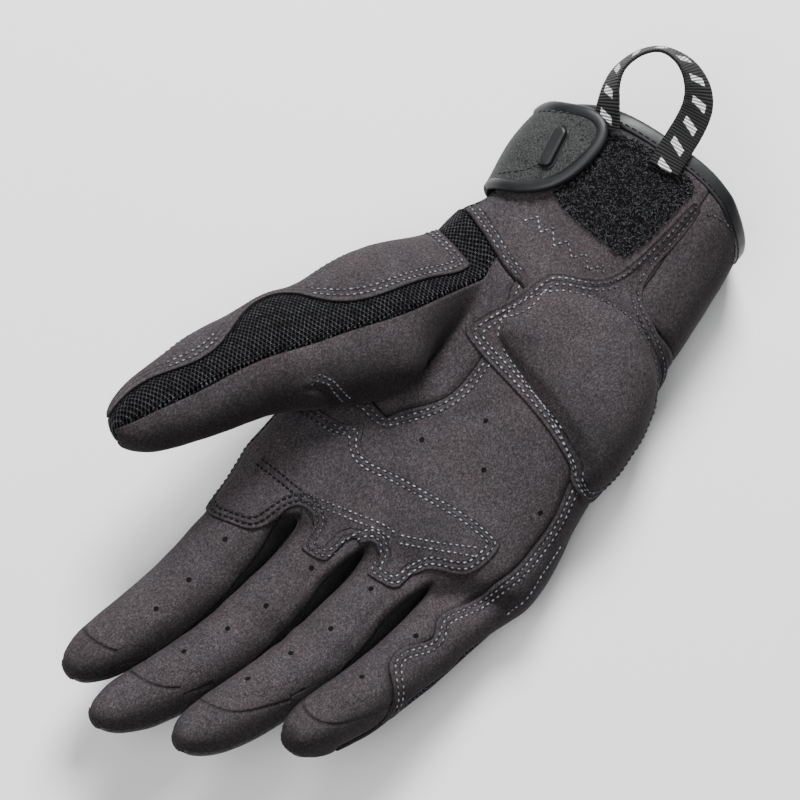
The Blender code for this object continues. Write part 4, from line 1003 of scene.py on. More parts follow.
@functools.lru_cache(maxsize=None)
def skin():
    """The glove's smooth outside. A subdivision surface is drawn over the net, and the net is moved
    by the surface's distance from the wanted points until it passes near them. Its faces keep the name of
    the cut piece that they belong to, and the edges between two pieces are the seams."""
    net = glove_net()
    names = sorted(set(net.owners))
    mesh = bpy.data.meshes.new("skin_net")
    mesh.from_pydata([tuple(point) for point in net.points], [], net.faces)
    kept = [2 * names.index(owner) + top for owner, top in zip(net.owners, net.tops)]
    mesh.polygons.foreach_set("material_index", kept)
    work = bmesh.new()
    work.from_mesh(mesh)
    bmesh.ops.recalc_face_normals(work, faces=work.faces)
    work.to_mesh(mesh)
    work.free()
    obj = bpy.data.objects.new("skin_net", mesh)
    bpy.context.scene.collection.objects.link(obj)
    fine = obj.modifiers.new("smooth", "SUBSURF")
    fine.levels = fine.render_levels = 1
    fine.use_limit_surface = True
    cage = net.points.copy()
    for _ in range(7):
        mesh.vertices.foreach_set("co", cage.ravel())
        mesh.update()
        cage += (net.points - limit_points(obj, len(cage)))
    mesh.vertices.foreach_set("co", cage.ravel())
    mesh.update()
    fine.levels = fine.render_levels = 3
    surface = obj.evaluated_get(bpy.context.evaluated_depsgraph_get()).data
    points, normals = np.empty((2, len(surface.vertices) * 3))
    surface.vertices.foreach_get("co", points)
    surface.vertex_normals.foreach_get("vector", normals)
    corners = np.empty(len(surface.loops), np.int32)
    surface.loops.foreach_get("vertex_index", corners)
    owner = np.empty(len(surface.polygons), np.int32)
    surface.polygons.foreach_get("material_index", owner)
    points, normals, faces = points.reshape(-1, 3).copy(), normals.reshape(-1, 3), corners.reshape(-1, 4)
    bpy.data.objects.remove(obj)
    points[:, 2] = np.maximum(points[:, 2], 0.0)
    owner, top = owner // 2, owner % 2 == 1

    ends = np.stack([faces, np.roll(faces, -1, axis=1)], axis=2).reshape(-1, 2)
    edges, back, counts = np.unique(np.sort(ends, axis=1), axis=0, return_inverse=True, return_counts=True)
    by_edge = np.argsort(back.ravel(), kind="stable") // 4
    first = np.cumsum(counts) - counts
    beside = np.stack([by_edge[first], np.where(counts > 1, by_edge[np.minimum(first + 1, len(by_edge) - 1)], -1)], 1)
    owners = np.where(beside < 0, -1, owner[beside])
    seam = owners[:, 0] != owners[:, 1]
    tree = BVHTree.FromPolygons(points.tolist(), faces[top].tolist())
    return types.SimpleNamespace(
        points=points, normals=normals, faces=faces, owner=owner, names=names, tree=tree,
        seams=edges[seam], seam_faces=beside[seam], seam_owners=owners[seam])


def ripple(points, length, seed, count=14):
    """Slow unevenness: waves of about one length that cross in many directions, added up."""
    chance = np.random.default_rng(seed)
    ways = chance.normal(size=(count, 3))
    ways *= 2 * np.pi / (length * chance.uniform(0.6, 1.6, (count, 1)) * np.linalg.norm(ways, axis=1, keepdims=True))
    return np.sin(points @ ways.T + chance.uniform(0, 2 * np.pi, count)).sum(axis=1) / math.sqrt(count)


def tip_seams(points, normals):
    """Signed distance in millimetres to the nearest fingertip seam: the drop onto the seam, positive on
    one side of it, and 9 where no seam is near."""
    signed = np.full(len(points), 9.0)
    for line in TIP_SEAMS:
        line = smooth(np.array(line) / 1000, 2, closed=False)
        near = ((points > line.min(axis=0) - 0.004) & (points < line.max(axis=0) + 0.004)).all(axis=1)
        if near.any():
            away, nearest = distance_to(points[near], line[:-1], line[1:])
            ahead, to = line[nearest + 1] - line[nearest], points[near] - line[nearest]
            side = np.cross(ahead, normals[near])
            level = (to * side).sum(axis=1) / (np.linalg.norm(side, axis=1) + 1e-18)
            size = np.linalg.norm(ahead, axis=1)
            past = (to * ahead).sum(axis=1) / size
            past = np.maximum(np.maximum(-past, past - size), 0.0)
            level += np.copysign(past, level)
            signed[near] = np.where(away < 0.005, level * 1000, signed[near])
    return signed


def relief(points):
    """Creases and unevenness of the leather: a crease is a valley, -depth exp(-(away / width)^2), with a
    low swelling on both sides, and ripples of 9 and 22 mm run through all of it."""
    height = 0.00016 * ripple(points, 0.022, 3) + 0.00007 * ripple(points, 0.009, 5)
    for depth, width, line in CREASES:
        line = smooth(np.array(line) / 1000, 2, closed=False)
        low, high = line.min(axis=0) - 4 * width / 1000, line.max(axis=0) + 4 * width / 1000
        near = ((points > low) & (points < high)).all(axis=1)
        if near.any():
            away = distance_to_line(points[near], line) / (width / 1000)
            height[near] += depth / 1000 * (0.35 * np.exp(-((away - 2.0) ** 2)) - np.exp(-(away**2)))
    return height


SHAPES = {}


def remember(name, points, faces):
    """Keeps a finished surface, so that stitches can be laid on it."""
    SHAPES[name] = BVHTree.FromPolygons(np.asarray(points).tolist(), [tuple(face) for face in faces])


def add_panel(name, material, flat_of=None, puff=None):
    """One cut piece of the skin. Its height over the skin is puff (1 - exp(-away / 3 mm)) from its edge
    inward, plus at each seam a lap or a drop that dies out as exp(-(away / 1.1 mm)^2), plus the relief."""
    base = skin()
    index = base.names.index(name)
    faces = base.faces[base.owner == index]
    used, local = np.unique(faces, return_inverse=True)
    local = local.reshape(faces.shape)
    points, normals = base.points[used], base.normals[used]
    mine = (base.seam_owners == index).any(axis=1)
    edges, owners = base.seams[mine], base.seam_owners[mine]
    beside = np.where(owners[:, 0] == index, owners[:, 1], owners[:, 0])
    away, nearest = distance_to(points, base.points[edges[:, 0]], base.points[edges[:, 1]])
    others = [*base.names, name]
    above = np.array([LAP_ORDER[name] >= LAP_ORDER[other] for other in others])
    sewn = np.array([(name, other) in SEWN for other in others], float)
    lap = np.where(above, sizes().lap, -sizes().seam_depth)
    lap[-1] = 0.0
    same = np.array([LAP_ORDER[name] == LAP_ORDER[other] for other in others])
    lap[same] = -sizes().lap
    drop = lap[beside[nearest]]
    height = (sizes().puff if puff is None else puff) * (1 - np.exp(-away / 0.003))
    height += drop * np.exp(-((away / 0.0011) ** 2)) + relief(points)
    moved = points + normals * height[:, None]
    moved[:, 2] = np.maximum(moved[:, 2], 0.0)
    inner = moved - normals * LEATHER
    ends = np.stack([local, np.roll(local, -1, axis=1)], axis=2).reshape(-1, 2)
    count = len(moved)
    loose = ~np.isin(ends[:, 0] * count + ends[:, 1], ends[:, 1] * count + ends[:, 0])
    border = ends[loose]
    walls = np.stack([border[:, 1], border[:, 0], border[:, 0] + count, border[:, 1] + count], axis=1)
    solid = np.concatenate([local, local[:, ::-1] + count, walls])
    values = {"edge": away * 1000, "rows": sewn[beside[nearest]], "tip": tip_seams(points, normals)}
    values = {key: np.tile(value, 2) for key, value in values.items()}
    both = np.concatenate([moved, inner])
    flat = flat_of(both) * 1000 if flat_of else None
    piece = new_piece(name + "_dressed", both, solid, material, (name,), values, flat, len(walls))
    remember(name, moved, local)
    return piece


def flat_on_hand(points):
    """Across is x, turned down the sides by z, and along is y."""
    middle = np.interp(points[:, 1], (-0.12, 0.10), (0.012, -0.010))
    side = np.clip((points[:, 0] - middle) / 0.02, -1, 1)
    return np.stack([points[:, 0] + side * points[:, 2], points[:, 1]], axis=1)


def flat_on_thumb(points):
    """Along is down the thumb's middle line, and across is level to its outer side, less the height."""
    line = in_metres(THUMB_ROOT) + THUMB[:, :3] * THUMB_LENGTH
    ahead = (line[-1] - line[0]) / np.linalg.norm(line[-1] - line[0])
    side = np.cross(ahead, (0, 0, 1))
    side /= -np.linalg.norm(side) * math.copysign(1, side[0])
    up = np.cross(side, ahead)
    up *= math.copysign(1, up[2])
    away = points - line[0]
    return np.stack([away @ side - away @ up, away @ ahead], axis=1)


def resample(line, step, closed=False):
    """A line of points spaced evenly, about step apart."""
    whole = np.concatenate([line, line[:1]]) if closed else line
    lengths = np.concatenate([[0.0], np.cumsum(np.linalg.norm(np.diff(whole, axis=0), axis=1))])
    count = max(2, int(round(lengths[-1] / step)) + (0 if closed else 1))
    places = np.linspace(0, lengths[-1], count, endpoint=not closed)
    return np.stack([np.interp(places, lengths, whole[:, axis]) for axis in range(whole.shape[1])], axis=1)


def inset(outline, by):
    """A closed flat outline moved inward, without the points that come too near it again."""
    ahead = np.roll(outline, -1, axis=0) - np.roll(outline, 1, axis=0)
    ahead /= np.linalg.norm(ahead, axis=1, keepdims=True) + 1e-18
    after = np.roll(outline, -1, axis=0)
    area = (outline[:, 0] * after[:, 1] - after[:, 0] * outline[:, 1]).sum()
    inward = np.stack([-ahead[:, 1], ahead[:, 0]], axis=1) * math.copysign(1, area)
    moved = outline + inward * by
    kept = distance_to_line(moved, outline, closed=True) > by * 0.96
    return moved[kept]


def within(points, outline):
    """Whether each flat point lies inside a closed outline: a ray to its right crosses it an odd number
    of times."""
    after = np.roll(outline, -1, axis=0)
    x, y = points[:, :1], points[:, 1:2]
    spans = (outline[:, 1] > y) != (after[:, 1] > y)
    meets = (after[:, 0] - outline[:, 0]) * (y - outline[:, 1]) / (after[:, 1] - outline[:, 1] + 1e-18)
    return (spans & (x < meets + outline[:, 0])).sum(axis=1) % 2 == 1


def plane_of(direction):
    """Two level ways square to a direction."""
    along = np.array(direction)
    first = np.cross((0.0, 1.0, 0.0), along)
    first /= np.linalg.norm(first)
    return first, np.cross(along, first)


def laid_on_skin(flat, direction):
    """Flat points dropped along a direction onto the skin, and the skin's way out there. A point that
    falls past the skin's outline goes to the skin nearest to where its neighbour landed."""
    first, second = plane_of(direction)
    along = np.array(direction)
    base = flat[:, :1] * first + flat[:, 1:2] * second
    tree = skin().tree
    found = [tree.ray_cast(start, -direction) for start in (base + along * REACH).tolist()]
    met = np.array([hit[0] is not None for hit in found])
    depth = np.array([hit[0] @ direction if hit[0] is not None else 0.0 for hit in found])
    for at in np.flatnonzero(~met):
        beside = np.flatnonzero(met)[((flat[met] - flat[at]) ** 2).sum(axis=1).argmin()]
        found[at] = tree.find_nearest(base[at] + along * depth[beside])
    places = np.array([tuple(hit[0]) for hit in found])
    ways = np.array([tuple(hit[1]) for hit in found])
    return places, ways * np.where(ways @ along < -0.2, -1.0, 1.0)[:, None]


def held_on_skin(flat, direction, inner):
    """A closed flat outline drawn in to where the skin lies under it, by the nearest of the inner points."""
    first, second = plane_of(direction)
    tree = skin().tree

    def met(points):
        starts = points[:, :1] * first + points[:, 1:2] * second + np.array(direction) * REACH
        return np.array([tree.ray_cast(start, -direction)[0] is not None for start in starts.tolist()])

    landed = inner[met(inner)]
    off = ~met(flat)
    if off.any():
        gaps = ((flat[off][:, None] - landed[None]) ** 2).sum(axis=2)
        flat = flat.copy()
        flat[off] = landed[gaps.argmin(axis=1)]
        flat = resample(np.array([point for at, point in enumerate(flat) if at == 0 or (point != flat[at - 1]).any()]),
                        0.0006, closed=True)
        flat = evened_ring(flat, 4)
    return flat


def evened_ring(ring, times):
    """A closed line with its kinks drawn out."""
    for _ in range(times):
        ring = 0.5 * ring + 0.25 * (np.roll(ring, 1, axis=0) + np.roll(ring, -1, axis=0))
    return ring


def evened(values, faces, times, still=None):
    """Each point's value blended with the mean of its neighbours', times over. still points stay."""
    edges = np.concatenate([faces[:, [0, 1]], faces[:, [1, 2]], faces[:, [2, 0]]])
    edges = np.unique(np.sort(edges, axis=1), axis=0)
    count = np.bincount(edges.ravel(), minlength=len(values))[:, None]
    for _ in range(times):
        total = np.zeros_like(values)
        for axis in range(values.shape[1]):
            total[:, axis] += np.bincount(edges[:, 0], values[edges[:, 1], axis], len(values))
            total[:, axis] += np.bincount(edges[:, 1], values[edges[:, 0], axis], len(values))
        mean = total / np.maximum(count, 1)
        values = 0.5 * values + 0.5 * mean if still is None else np.where(still[:, None], values, 0.5 * (values + mean))
    return values


def add_patch(name, outline, direction, low, height_of, material, grain=0.0008):
    """A piece laid on the skin. Its outline is filled with rings close to the edge and a triangular
    grid inside, dropped onto the skin, and raised by low plus height_of(distance to the edge, point)."""
    edge = resample(smooth(in_metres(outline), 2, closed=True), 0.0006, closed=True)
    first, second = plane_of(direction)
    flat = np.stack([edge @ first, edge @ second], axis=1)
    low_corner, high_corner = flat.min(axis=0), flat.max(axis=0)
    steps = [np.arange(low_corner[axis], high_corner[axis], grain * (1.0, 0.866)[axis]) for axis in (0, 1)]
    x, y = np.meshgrid(*steps)
    x = x + (np.arange(len(steps[1])) % 2 * grain / 2)[:, None]
    grid = np.stack([x.ravel(), y.ravel()], axis=1)
    grid = grid[within(grid, flat)]
    flat = held_on_skin(flat, direction, grid)
    rings = [inset(flat, by) for by in (0.00013, 0.00034, 0.00065, 0.0011)]
    grid = grid[within(grid, flat)]
    grid = grid[distance_to_line(grid, flat, closed=True) > 0.0011 + grain * 0.5]
    loose = np.concatenate([flat, *rings, grid]) * 1000
    count = len(flat)
    loop = [(at, (at + 1) % count) for at in range(count)]
    filled = delaunay_2d_cdt([Vector(point) for point in loose.tolist()], loop, [], 1, 1e-4)
    flat = np.array([tuple(point) for point in filled[0]]) / 1000
    faces = np.array(filled[2])
    places, ways = laid_on_skin(flat, direction)
    turned = np.cross(places[faces[:, 1]] - places[faces[:, 0]], places[faces[:, 2]] - places[faces[:, 0]])
    if (turned @ np.array(direction)).sum() < 0:
        faces = faces[:, ::-1]
    edges = np.concatenate([faces[:, [0, 1]], faces[:, [1, 2]], faces[:, [2, 0]]])
    keys = set(map(tuple, edges.tolist()))
    border = np.array([pair for pair in edges.tolist() if (pair[1], pair[0]) not in keys])
    rim = np.zeros(len(places), bool)
    rim[border.ravel()] = True
    places = evened(places, faces, 4, still=rim)
    ways = evened(ways, faces, 8)
    ways /= np.linalg.norm(ways, axis=1, keepdims=True)
    away, _ = distance_to(places, places[border[:, 0]], places[border[:, 1]])
    top = places + ways * (low + height_of(away, places))[:, None]
    bottom = places + ways * (low - 0.0003)
    total = len(places)
    walls = np.stack([border[:, 1], border[:, 0], border[:, 0] + total, border[:, 1] + total], axis=1)
    solid = [*faces.tolist(), *(faces[:, ::-1] + total).tolist(), *walls.tolist()]
    values = {"edge": np.tile(away * 1000, 2), "rows": np.ones(2 * total), "tip": np.full(2 * total, 9.0)}
    both = np.concatenate([top, bottom])
    piece = new_piece(name + "_dressed", both, solid, material, (name,), values, crisp=len(walls))
    remember(name, top, faces.tolist())
    return piece, edge


def rounded(away, thickness, radius=0.0004):
    """A cut edge's profile: a quarter circle from the edge up to the full thickness."""
    return thickness * np.sqrt(np.maximum(1 - (1 - np.minimum(away / radius, 1)) ** 2, 0.0))


def chains(edges):
    """Edges put end to end: each chain is a list of points in order."""
    beside = {}
    for one, other in edges.tolist():
        beside.setdefault(one, []).append(other)
        beside.setdefault(other, []).append(one)
    found, seen = [], set()
    for start in sorted(beside, key=lambda point: (len(beside[point]) == 2, point)):
        for second in beside[start]:
            if frozenset((start, second)) in seen:
                continue
            chain = [start, second]
            seen.add(frozenset((start, second)))
            while len(beside[chain[-1]]) == 2:
                ahead = [point for point in beside[chain[-1]] if frozenset((chain[-1], point)) not in seen]
                if not ahead:
                    break
                seen.add(frozenset((chain[-1], ahead[0])))
                chain.append(ahead[0])
            found.append(chain)
    return found


def softened(line, times):
    """A line with its kinks drawn out: each inner point moves to the middle of its neighbours."""
    for _ in range(times):
        line = line.copy()
        line[1:-1] = 0.5 * line[1:-1] + 0.25 * (line[:-2] + line[2:])
    return line


def seam_lines(name, other, by):
    """Lines that run on one piece at a distance from its seam with another."""
    base = skin()
    index, beside = base.names.index(name), base.names.index(other)
    both = (base.seam_owners == (index, beside)).all(axis=1) | (base.seam_owners == (beside, index)).all(axis=1)
    if not both.any():
        return []
    own = np.where(base.seam_owners[both, 0] == index, base.seam_faces[both, 0], base.seam_faces[both, 1])
    inner = {tuple(sorted(edge)): face for edge, face in zip(base.seams[both].tolist(), own.tolist())}
    lines = []
    for chain in chains(base.seams[both]):
        if len(chain) < 12:
            continue
        line = softened(base.points[chain], 6)
        ahead = np.gradient(line, axis=0)
        side = np.cross(base.normals[chain], ahead)
        side /= np.linalg.norm(side, axis=1, keepdims=True) + 1e-18
        middle = len(chain) // 2
        face = inner[tuple(sorted(chain[middle - 1 : middle + 1]))]
        toward = base.points[base.faces[face]].mean(axis=0) - base.points[chain[middle]]
        moved = line + side * math.copysign(by, side[middle] @ toward)
        kept = distance_to_line(moved, line) > by * 0.93
        lines.append(softened(moved[kept], 4))
    return lines


def stitches_on(line, surface, pitch):
    """Places, directions and ways out of the stitches along a line, laid on a finished surface."""
    whole = resample(line, pitch / 8)
    count = int((len(whole) - 1) / 8)
    if count < 1:
        return np.empty((0, 3, 3))
    at = np.arange(count) * 8
    middles, ahead = whole[at + 4], whole[at + 7] - whole[at + 1]
    found = [surface.find_nearest(place) for place in middles.tolist()]
    places = np.array([tuple(hit[0]) for hit in found])
    ways = np.array([tuple(hit[1]) for hit in found])
    near = np.linalg.norm(places - middles, axis=1) < 0.006
    ahead -= (ahead * ways).sum(axis=1, keepdims=True) * ways
    ahead /= np.linalg.norm(ahead, axis=1, keepdims=True) + 1e-18
    return np.stack([places, ahead, ways], axis=1)[near]


def add_stitches(name, rows, material):
    """One short arch of thread for each stitch. Along u from -1 to 1 its middle line stands at
    0.55 - 1.3 u^4 of the thread's radius, so both ends dive into the leather, and its ring of six points
    thins as sqrt(1 - 0.5 u^2)."""
    frames = np.concatenate(rows)
    radius, half = sizes().thread / 2, sizes().stitch * 0.36
    u = np.array([-1.0, -0.72, 0.0, 0.72, 1.0])
    turn = np.arange(6) * np.pi / 3
    thin = radius * np.sqrt(1 - 0.5 * u**2)
    along = np.repeat(u * half, 6)
    across = (thin[:, None] * np.cos(turn) * 1.25).ravel()
    up = ((0.55 - 1.3 * u**4)[:, None] * radius + thin[:, None] * np.sin(turn)).ravel()
    place, ahead, way = frames[:, 0], frames[:, 1], frames[:, 2]
    side = np.cross(way, ahead)
    parts = (along, ahead), (across, side), (up, way)
    points = place[:, None] + sum(share[None, :, None] * direction[:, None] for share, direction in parts)
    ring, level = np.meshgrid(np.arange(6), np.arange(4))
    low, beside = level * 6 + ring, level * 6 + (ring + 1) % 6
    quads = np.stack([low, beside, beside + 6, low + 6], axis=2).reshape(-1, 4)
    quads = (quads + (np.arange(len(frames)) * 30)[:, None, None]).reshape(-1, 4)[:, ::-1]
    caps = np.stack([np.arange(6), 24 + np.arange(6)[::-1]])
    caps = (caps + (np.arange(len(frames)) * 30)[:, None, None]).reshape(-1, 6)
    chance = np.random.default_rng(len(frames))
    # Painted highlight on each stitch's top, strongest a little past its middle, with a strength of its own
    painted_highlight = np.exp(-(((np.repeat(u, 6) - 0.2) / 0.55) ** 2)) * np.maximum(np.tile(np.sin(turn), 5), 0)
    painted_gleam = painted_highlight * chance.uniform(0.35, 1.15, (len(frames), 1))
    return new_piece(name, points.reshape(-1, 3), [*quads.tolist(), *caps.tolist()], material,
                     values={"painted_gleam": painted_gleam.ravel()})


def grid_faces(rows, columns, closed_rows=False):
    """Quads of a grid whose columns close into a ring, and whose rows may."""
    row, column = np.meshgrid(np.arange(rows if closed_rows else rows - 1), np.arange(columns), indexing="ij")
    after, beside = (row + 1) % rows, (column + 1) % columns
    faces = [row * columns + column, row * columns + beside, after * columns + beside, after * columns + column]
    return np.stack(faces, axis=2).reshape(-1, 4)


def swept(line, wide, thick, profile, closed=False):
    """A profile carried along a line: each ring is the line's point plus wide times the profile's first
    number plus thick times its second. Open ends are closed with a face."""
    points = line[:, None] + wide[:, None] * profile[None, :, :1] + thick[:, None] * profile[None, :, 1:]
    count = len(profile)
    faces = grid_faces(len(line), count, closed).tolist()
    if not closed:
        faces += [list(range(count))[::-1], list(range((len(line) - 1) * count, len(line) * count))]
    return points.reshape(-1, 3), faces


def facing_out(piece):
    work = bmesh.new()
    work.from_mesh(piece.data)
    bmesh.ops.recalc_face_normals(work, faces=work.faces)
    work.to_mesh(piece.data)
    work.free()
    return piece


def ellipse(width, height, count, power=2.0):
    """Points round an ellipse, or for a higher power a box with round corners."""
    turn = np.arange(count) * 2 * np.pi / count
    x, y = np.cos(turn), np.sin(turn)
    shape = np.stack([np.sign(x) * np.abs(x) ** (2 / power), np.sign(y) * np.abs(y) ** (2 / power)], axis=1)
    return shape * (width / 2, height / 2)


class GLOVE_OT_suede_panels(bpy.types.Operator):
    """Cut pieces of suede: the palm, its side, the thumb, the wrist and the cuff's side"""
    bl_idname = "glove.suede_panels"
    bl_label = "Suede panels"

    def execute(self, context):
        for name in ("palm_panel", "side_panel", "thumb_panel", "thumb_patch", "wrist_panel", "cuff_side_panel"):
            add_panel(name, suede("suede"))
        return {"FINISHED"}


class GLOVE_OT_knit_panels(bpy.types.Operator):
    """The back of the hand and the outer side of the thumb, in open knit"""
    bl_idname = "glove.knit_panels"
    bl_label = "Knit panels"

    def execute(self, context):
        add_panel("thumb_mesh", knit(), flat_on_thumb, puff=0.0001)
        add_panel("back_panel", knit(), flat_on_hand, puff=0.0001)
        return {"FINISHED"}


class GLOVE_OT_finger_sides(bpy.types.Operator):
    """Strips of stretch cloth between the fingers and along the index finger"""
    bl_idname = "glove.finger_sides"
    bl_label = "Finger sides"

    def execute(self, context):
        for name in ("fourchette_1", "fourchette_2", "fourchette_3", "index_side_strip"):
            add_panel(name, stretch_cloth(), lambda points: points[:, [2, 1]], puff=0.0)
        return {"FINISHED"}


class GLOVE_OT_knuckle_patch(bpy.types.Operator):
    """The second layer of suede across the finger roots"""
    bl_idname = "glove.knuckle_patch"
    bl_label = "Knuckle patch"

    def execute(self, context):
        def height(away, places):
            return rounded(away, sizes().patch) + relief(places)

        add_patch("knuckle_patch", KNUCKLE_PATCH, PALM_UP, 0.0, height, suede("suede_patch"))
        return {"FINISHED"}


class GLOVE_OT_heel_pad(bpy.types.Operator):
    """The heel patch, with foam under its middle that rises steeply from its seam and then levels out"""
    bl_idname = "glove.heel_pad"
    bl_label = "Heel pad"

    def execute(self, context):
        pad_edge = smooth(PAD_OUTLINE / 1000, 2, closed=True)

        def height(away, places):
            from_seam = distance_to_line(places[:, :2], pad_edge, closed=True)
            foam = np.where(within(places[:, :2], pad_edge), 1 - np.exp(-from_seam / 0.0052), 0.0)
            foam *= sizes().pad * np.clip(away / 0.008, 0, 1)
            groove = 0.00035 * np.exp(-((from_seam / 0.0009) ** 2)) * np.clip(away / 0.002, 0, 1)
            tongue = np.clip((places[:, 1] - 0.068) / 0.006, 0, 1) * np.clip((places[:, 0] - 0.0105) / 0.003, 0, 1)
            return rounded(away, sizes().patch) * (1 - 0.8 * tongue) + foam - groove + relief(places)

        piece, _ = add_patch(
            "heel_patch", HEEL_PATCH, TOWARD_LITTLE, 0.0, height, suede("suede"))
        return {"FINISHED"}


class GLOVE_OT_closure_landing(bpy.types.Operator):
    """Looped fleece at the cuff that the strap's end holds on to, with its loops"""
    bl_idname = "glove.closure_landing"
    bl_label = "Closure landing"

    def execute(self, context):
        def height(away, places):
            return rounded(away, 0.0010, 0.0005) + 0.0002 * ripple(places, 0.002, 8)

        piece, _ = add_patch(
            "loop_landing", LANDING_OUTLINE, PALM_UP, 0.0, height, fleece(), grain=0.0007)
        chance = np.random.default_rng(21)
        mesh = piece.data
        points = np.empty(len(mesh.vertices) * 3)
        mesh.vertices.foreach_get("co", points)
        points = points.reshape(-1, 3)
        roots = points[chance.integers(0, len(points) // 2, 6500)]
        roots = roots + np.c_[chance.normal(0, 0.0003, (len(roots), 2)), np.zeros(len(roots))]
        turn = chance.uniform(0, 2 * np.pi, len(roots))
        lean = chance.normal(0, 0.35, (len(roots), 2))
        way = np.stack([lean[:, 0], lean[:, 1], np.ones(len(roots))], axis=1)
        way /= np.linalg.norm(way, axis=1, keepdims=True)
        ahead = np.stack([np.cos(turn), np.sin(turn), np.zeros(len(roots))], axis=1)
        ahead -= (ahead * way).sum(axis=1, keepdims=True) * way
        side = np.cross(way, ahead)
        span = chance.uniform(0.00025, 0.0005, len(roots))
        tall = chance.uniform(0.0003, 0.0008, len(roots))
        bend = np.linspace(0, np.pi, 5)
        radius = 0.000052
        line = (roots[:, None] - ahead[:, None] * (span[:, None] * np.cos(bend))[..., None]
                + way[:, None] * (tall[:, None] * np.sin(bend))[..., None])
        along = (ahead[:, None] * np.sin(bend)[:, None] + way[:, None] * np.cos(bend)[:, None])
        out = np.cross(side[:, None], along)
        corner = np.arange(3) * 2 * np.pi / 3
        tube = (line[:, :, None] + radius * (side[:, None, None] * np.cos(corner)[:, None]
                                             + out[:, :, None] * np.sin(corner)[:, None]))
        quads = grid_faces(5, 3)
        caps = np.array([[0, 2, 1], [12, 13, 14]])
        shift = (np.arange(len(roots)) * 15)[:, None, None]
        faces = [*(quads + shift).reshape(-1, 4).tolist(), *(caps + shift).reshape(-1, 3).tolist()]
        # Half of the loops get a painted glint, each of its own strength
        pale = np.where(chance.random(len(roots)) < 0.5, chance.uniform(0.3, 1.0, len(roots)), 0.0)
        values = {"painted_gleam": np.repeat(pale, 15)}
        new_piece("fleece_loops", tube.reshape(-1, 3), faces, fleece("fleece_loop", 30.0), values=values)
        return {"FINISHED"}


class GLOVE_OT_strap_end(bpy.types.Operator):
    """The strap's end across the wrist, with its rubber edge and the grip bar on it"""
    bl_idname = "glove.strap_end"
    bl_label = "Strap end"

    def execute(self, context):
        low = 2 * LAYER_GAP + LANDING

        def height(away, places):
            return rounded(away, TAB, 0.0008)

        add_patch("closure_tab", TAB_OUTLINE, TOWARD_THUMB, low, height, strap_cloth())
        first, last = TAB_BOUND
        edge = smooth(in_metres(TAB_OUTLINE[first : last + 1]), 3, closed=False)
        edge = softened(resample(edge, 0.0008), 6)
        frame_first, frame_second = plane_of(TOWARD_THUMB)
        flat = np.stack([edge @ frame_first, edge @ frame_second], axis=1)
        ahead = np.gradient(flat, axis=0)
        ahead /= np.linalg.norm(ahead, axis=1, keepdims=True)
        outward = np.stack([ahead[:, 1], -ahead[:, 0]], axis=1)
        inner = flat - outward * TAB_ROW
        inner = inner[distance_to_line(inner, flat) > TAB_ROW * 0.97]
        lifted = inner[:, :1] * frame_first + inner[:, 1:] * frame_second + np.array(TOWARD_THUMB) * REACH
        found = [SHAPES["closure_tab"].ray_cast(place, -TOWARD_THUMB)[0] for place in lifted.tolist()]
        row = stitches_on(np.array([tuple(place) for place in found if place is not None]),
                          SHAPES["closure_tab"], sizes().stitch * 1.15)
        level = row[:, 0] @ frame_first
        row = row[(level < np.quantile(level, 0.80)) & (level > level.min() + 0.003)]
        add_stitches("tab_stitches", [row], thread("black_thread", 0.13))
        flat = flat + outward * TAB_BAND * 0.14
        line, ways = laid_on_skin(flat, TOWARD_THUMB)
        line, ways = softened(line, 8), softened(ways, 30)
        line = line + ways * (low + TAB / 2 + LAYER_GAP)
        along = np.gradient(line, axis=0)
        along /= np.linalg.norm(along, axis=1, keepdims=True)
        wide = np.cross(ways, along)
        wide /= np.linalg.norm(wide, axis=1, keepdims=True)
        taper = np.sqrt(np.minimum(1, np.minimum(np.arange(len(line)), np.arange(len(line))[::-1]) / 3 + 0.05))[:, None]
        points, faces = swept(line, wide * taper, np.cross(along, wide) * taper, ellipse(TAB_BAND, TAB_EDGE, 18, power=2.3))
        facing_out(new_piece("tab_binding_dressed", points, faces, rubber(), ("tab_binding",)))
        self.add_grip(low)
        return {"FINISHED"}

    def add_grip(self, low):
        """The grip bar: rings round a long oval, from a foot sunk in the cloth to a rounded top."""
        place, way = laid_on_skin(np.array([[*in_metres(GRIP_AT)]]), PALM_UP)
        up = way[0]
        turned = np.array((math.sin(math.radians(-GRIP_TURN)), math.cos(math.radians(GRIP_TURN)), 0.0))
        along = turned - up * (turned @ up)
        along /= np.linalg.norm(along)
        across = np.cross(up, along)
        turn = np.arange(40) * 2 * np.pi / 40
        run = (GRIP_LENGTH - GRIP_WIDTH) / 2
        rings = []
        for height, shrink in GRIP_RINGS:
            radius = GRIP_WIDTH / 2 * shrink
            flat = np.cos(turn)[:, None] * across * radius
            flat = flat + (np.sin(turn) * radius + np.sign(np.sin(turn)) * run)[:, None] * along
            rings.append(place[0] + flat + up * (low + TAB + height * GRIP_HEIGHT))
        points = np.concatenate(rings)
        faces = grid_faces(len(rings), 40).tolist()
        faces += [list(range(40)), list(range(len(points) - 40, len(points)))]
        facing_out(new_piece("tab_grip_dressed", points, faces, rubber("grip_rubber"), ("tab_grip",)))


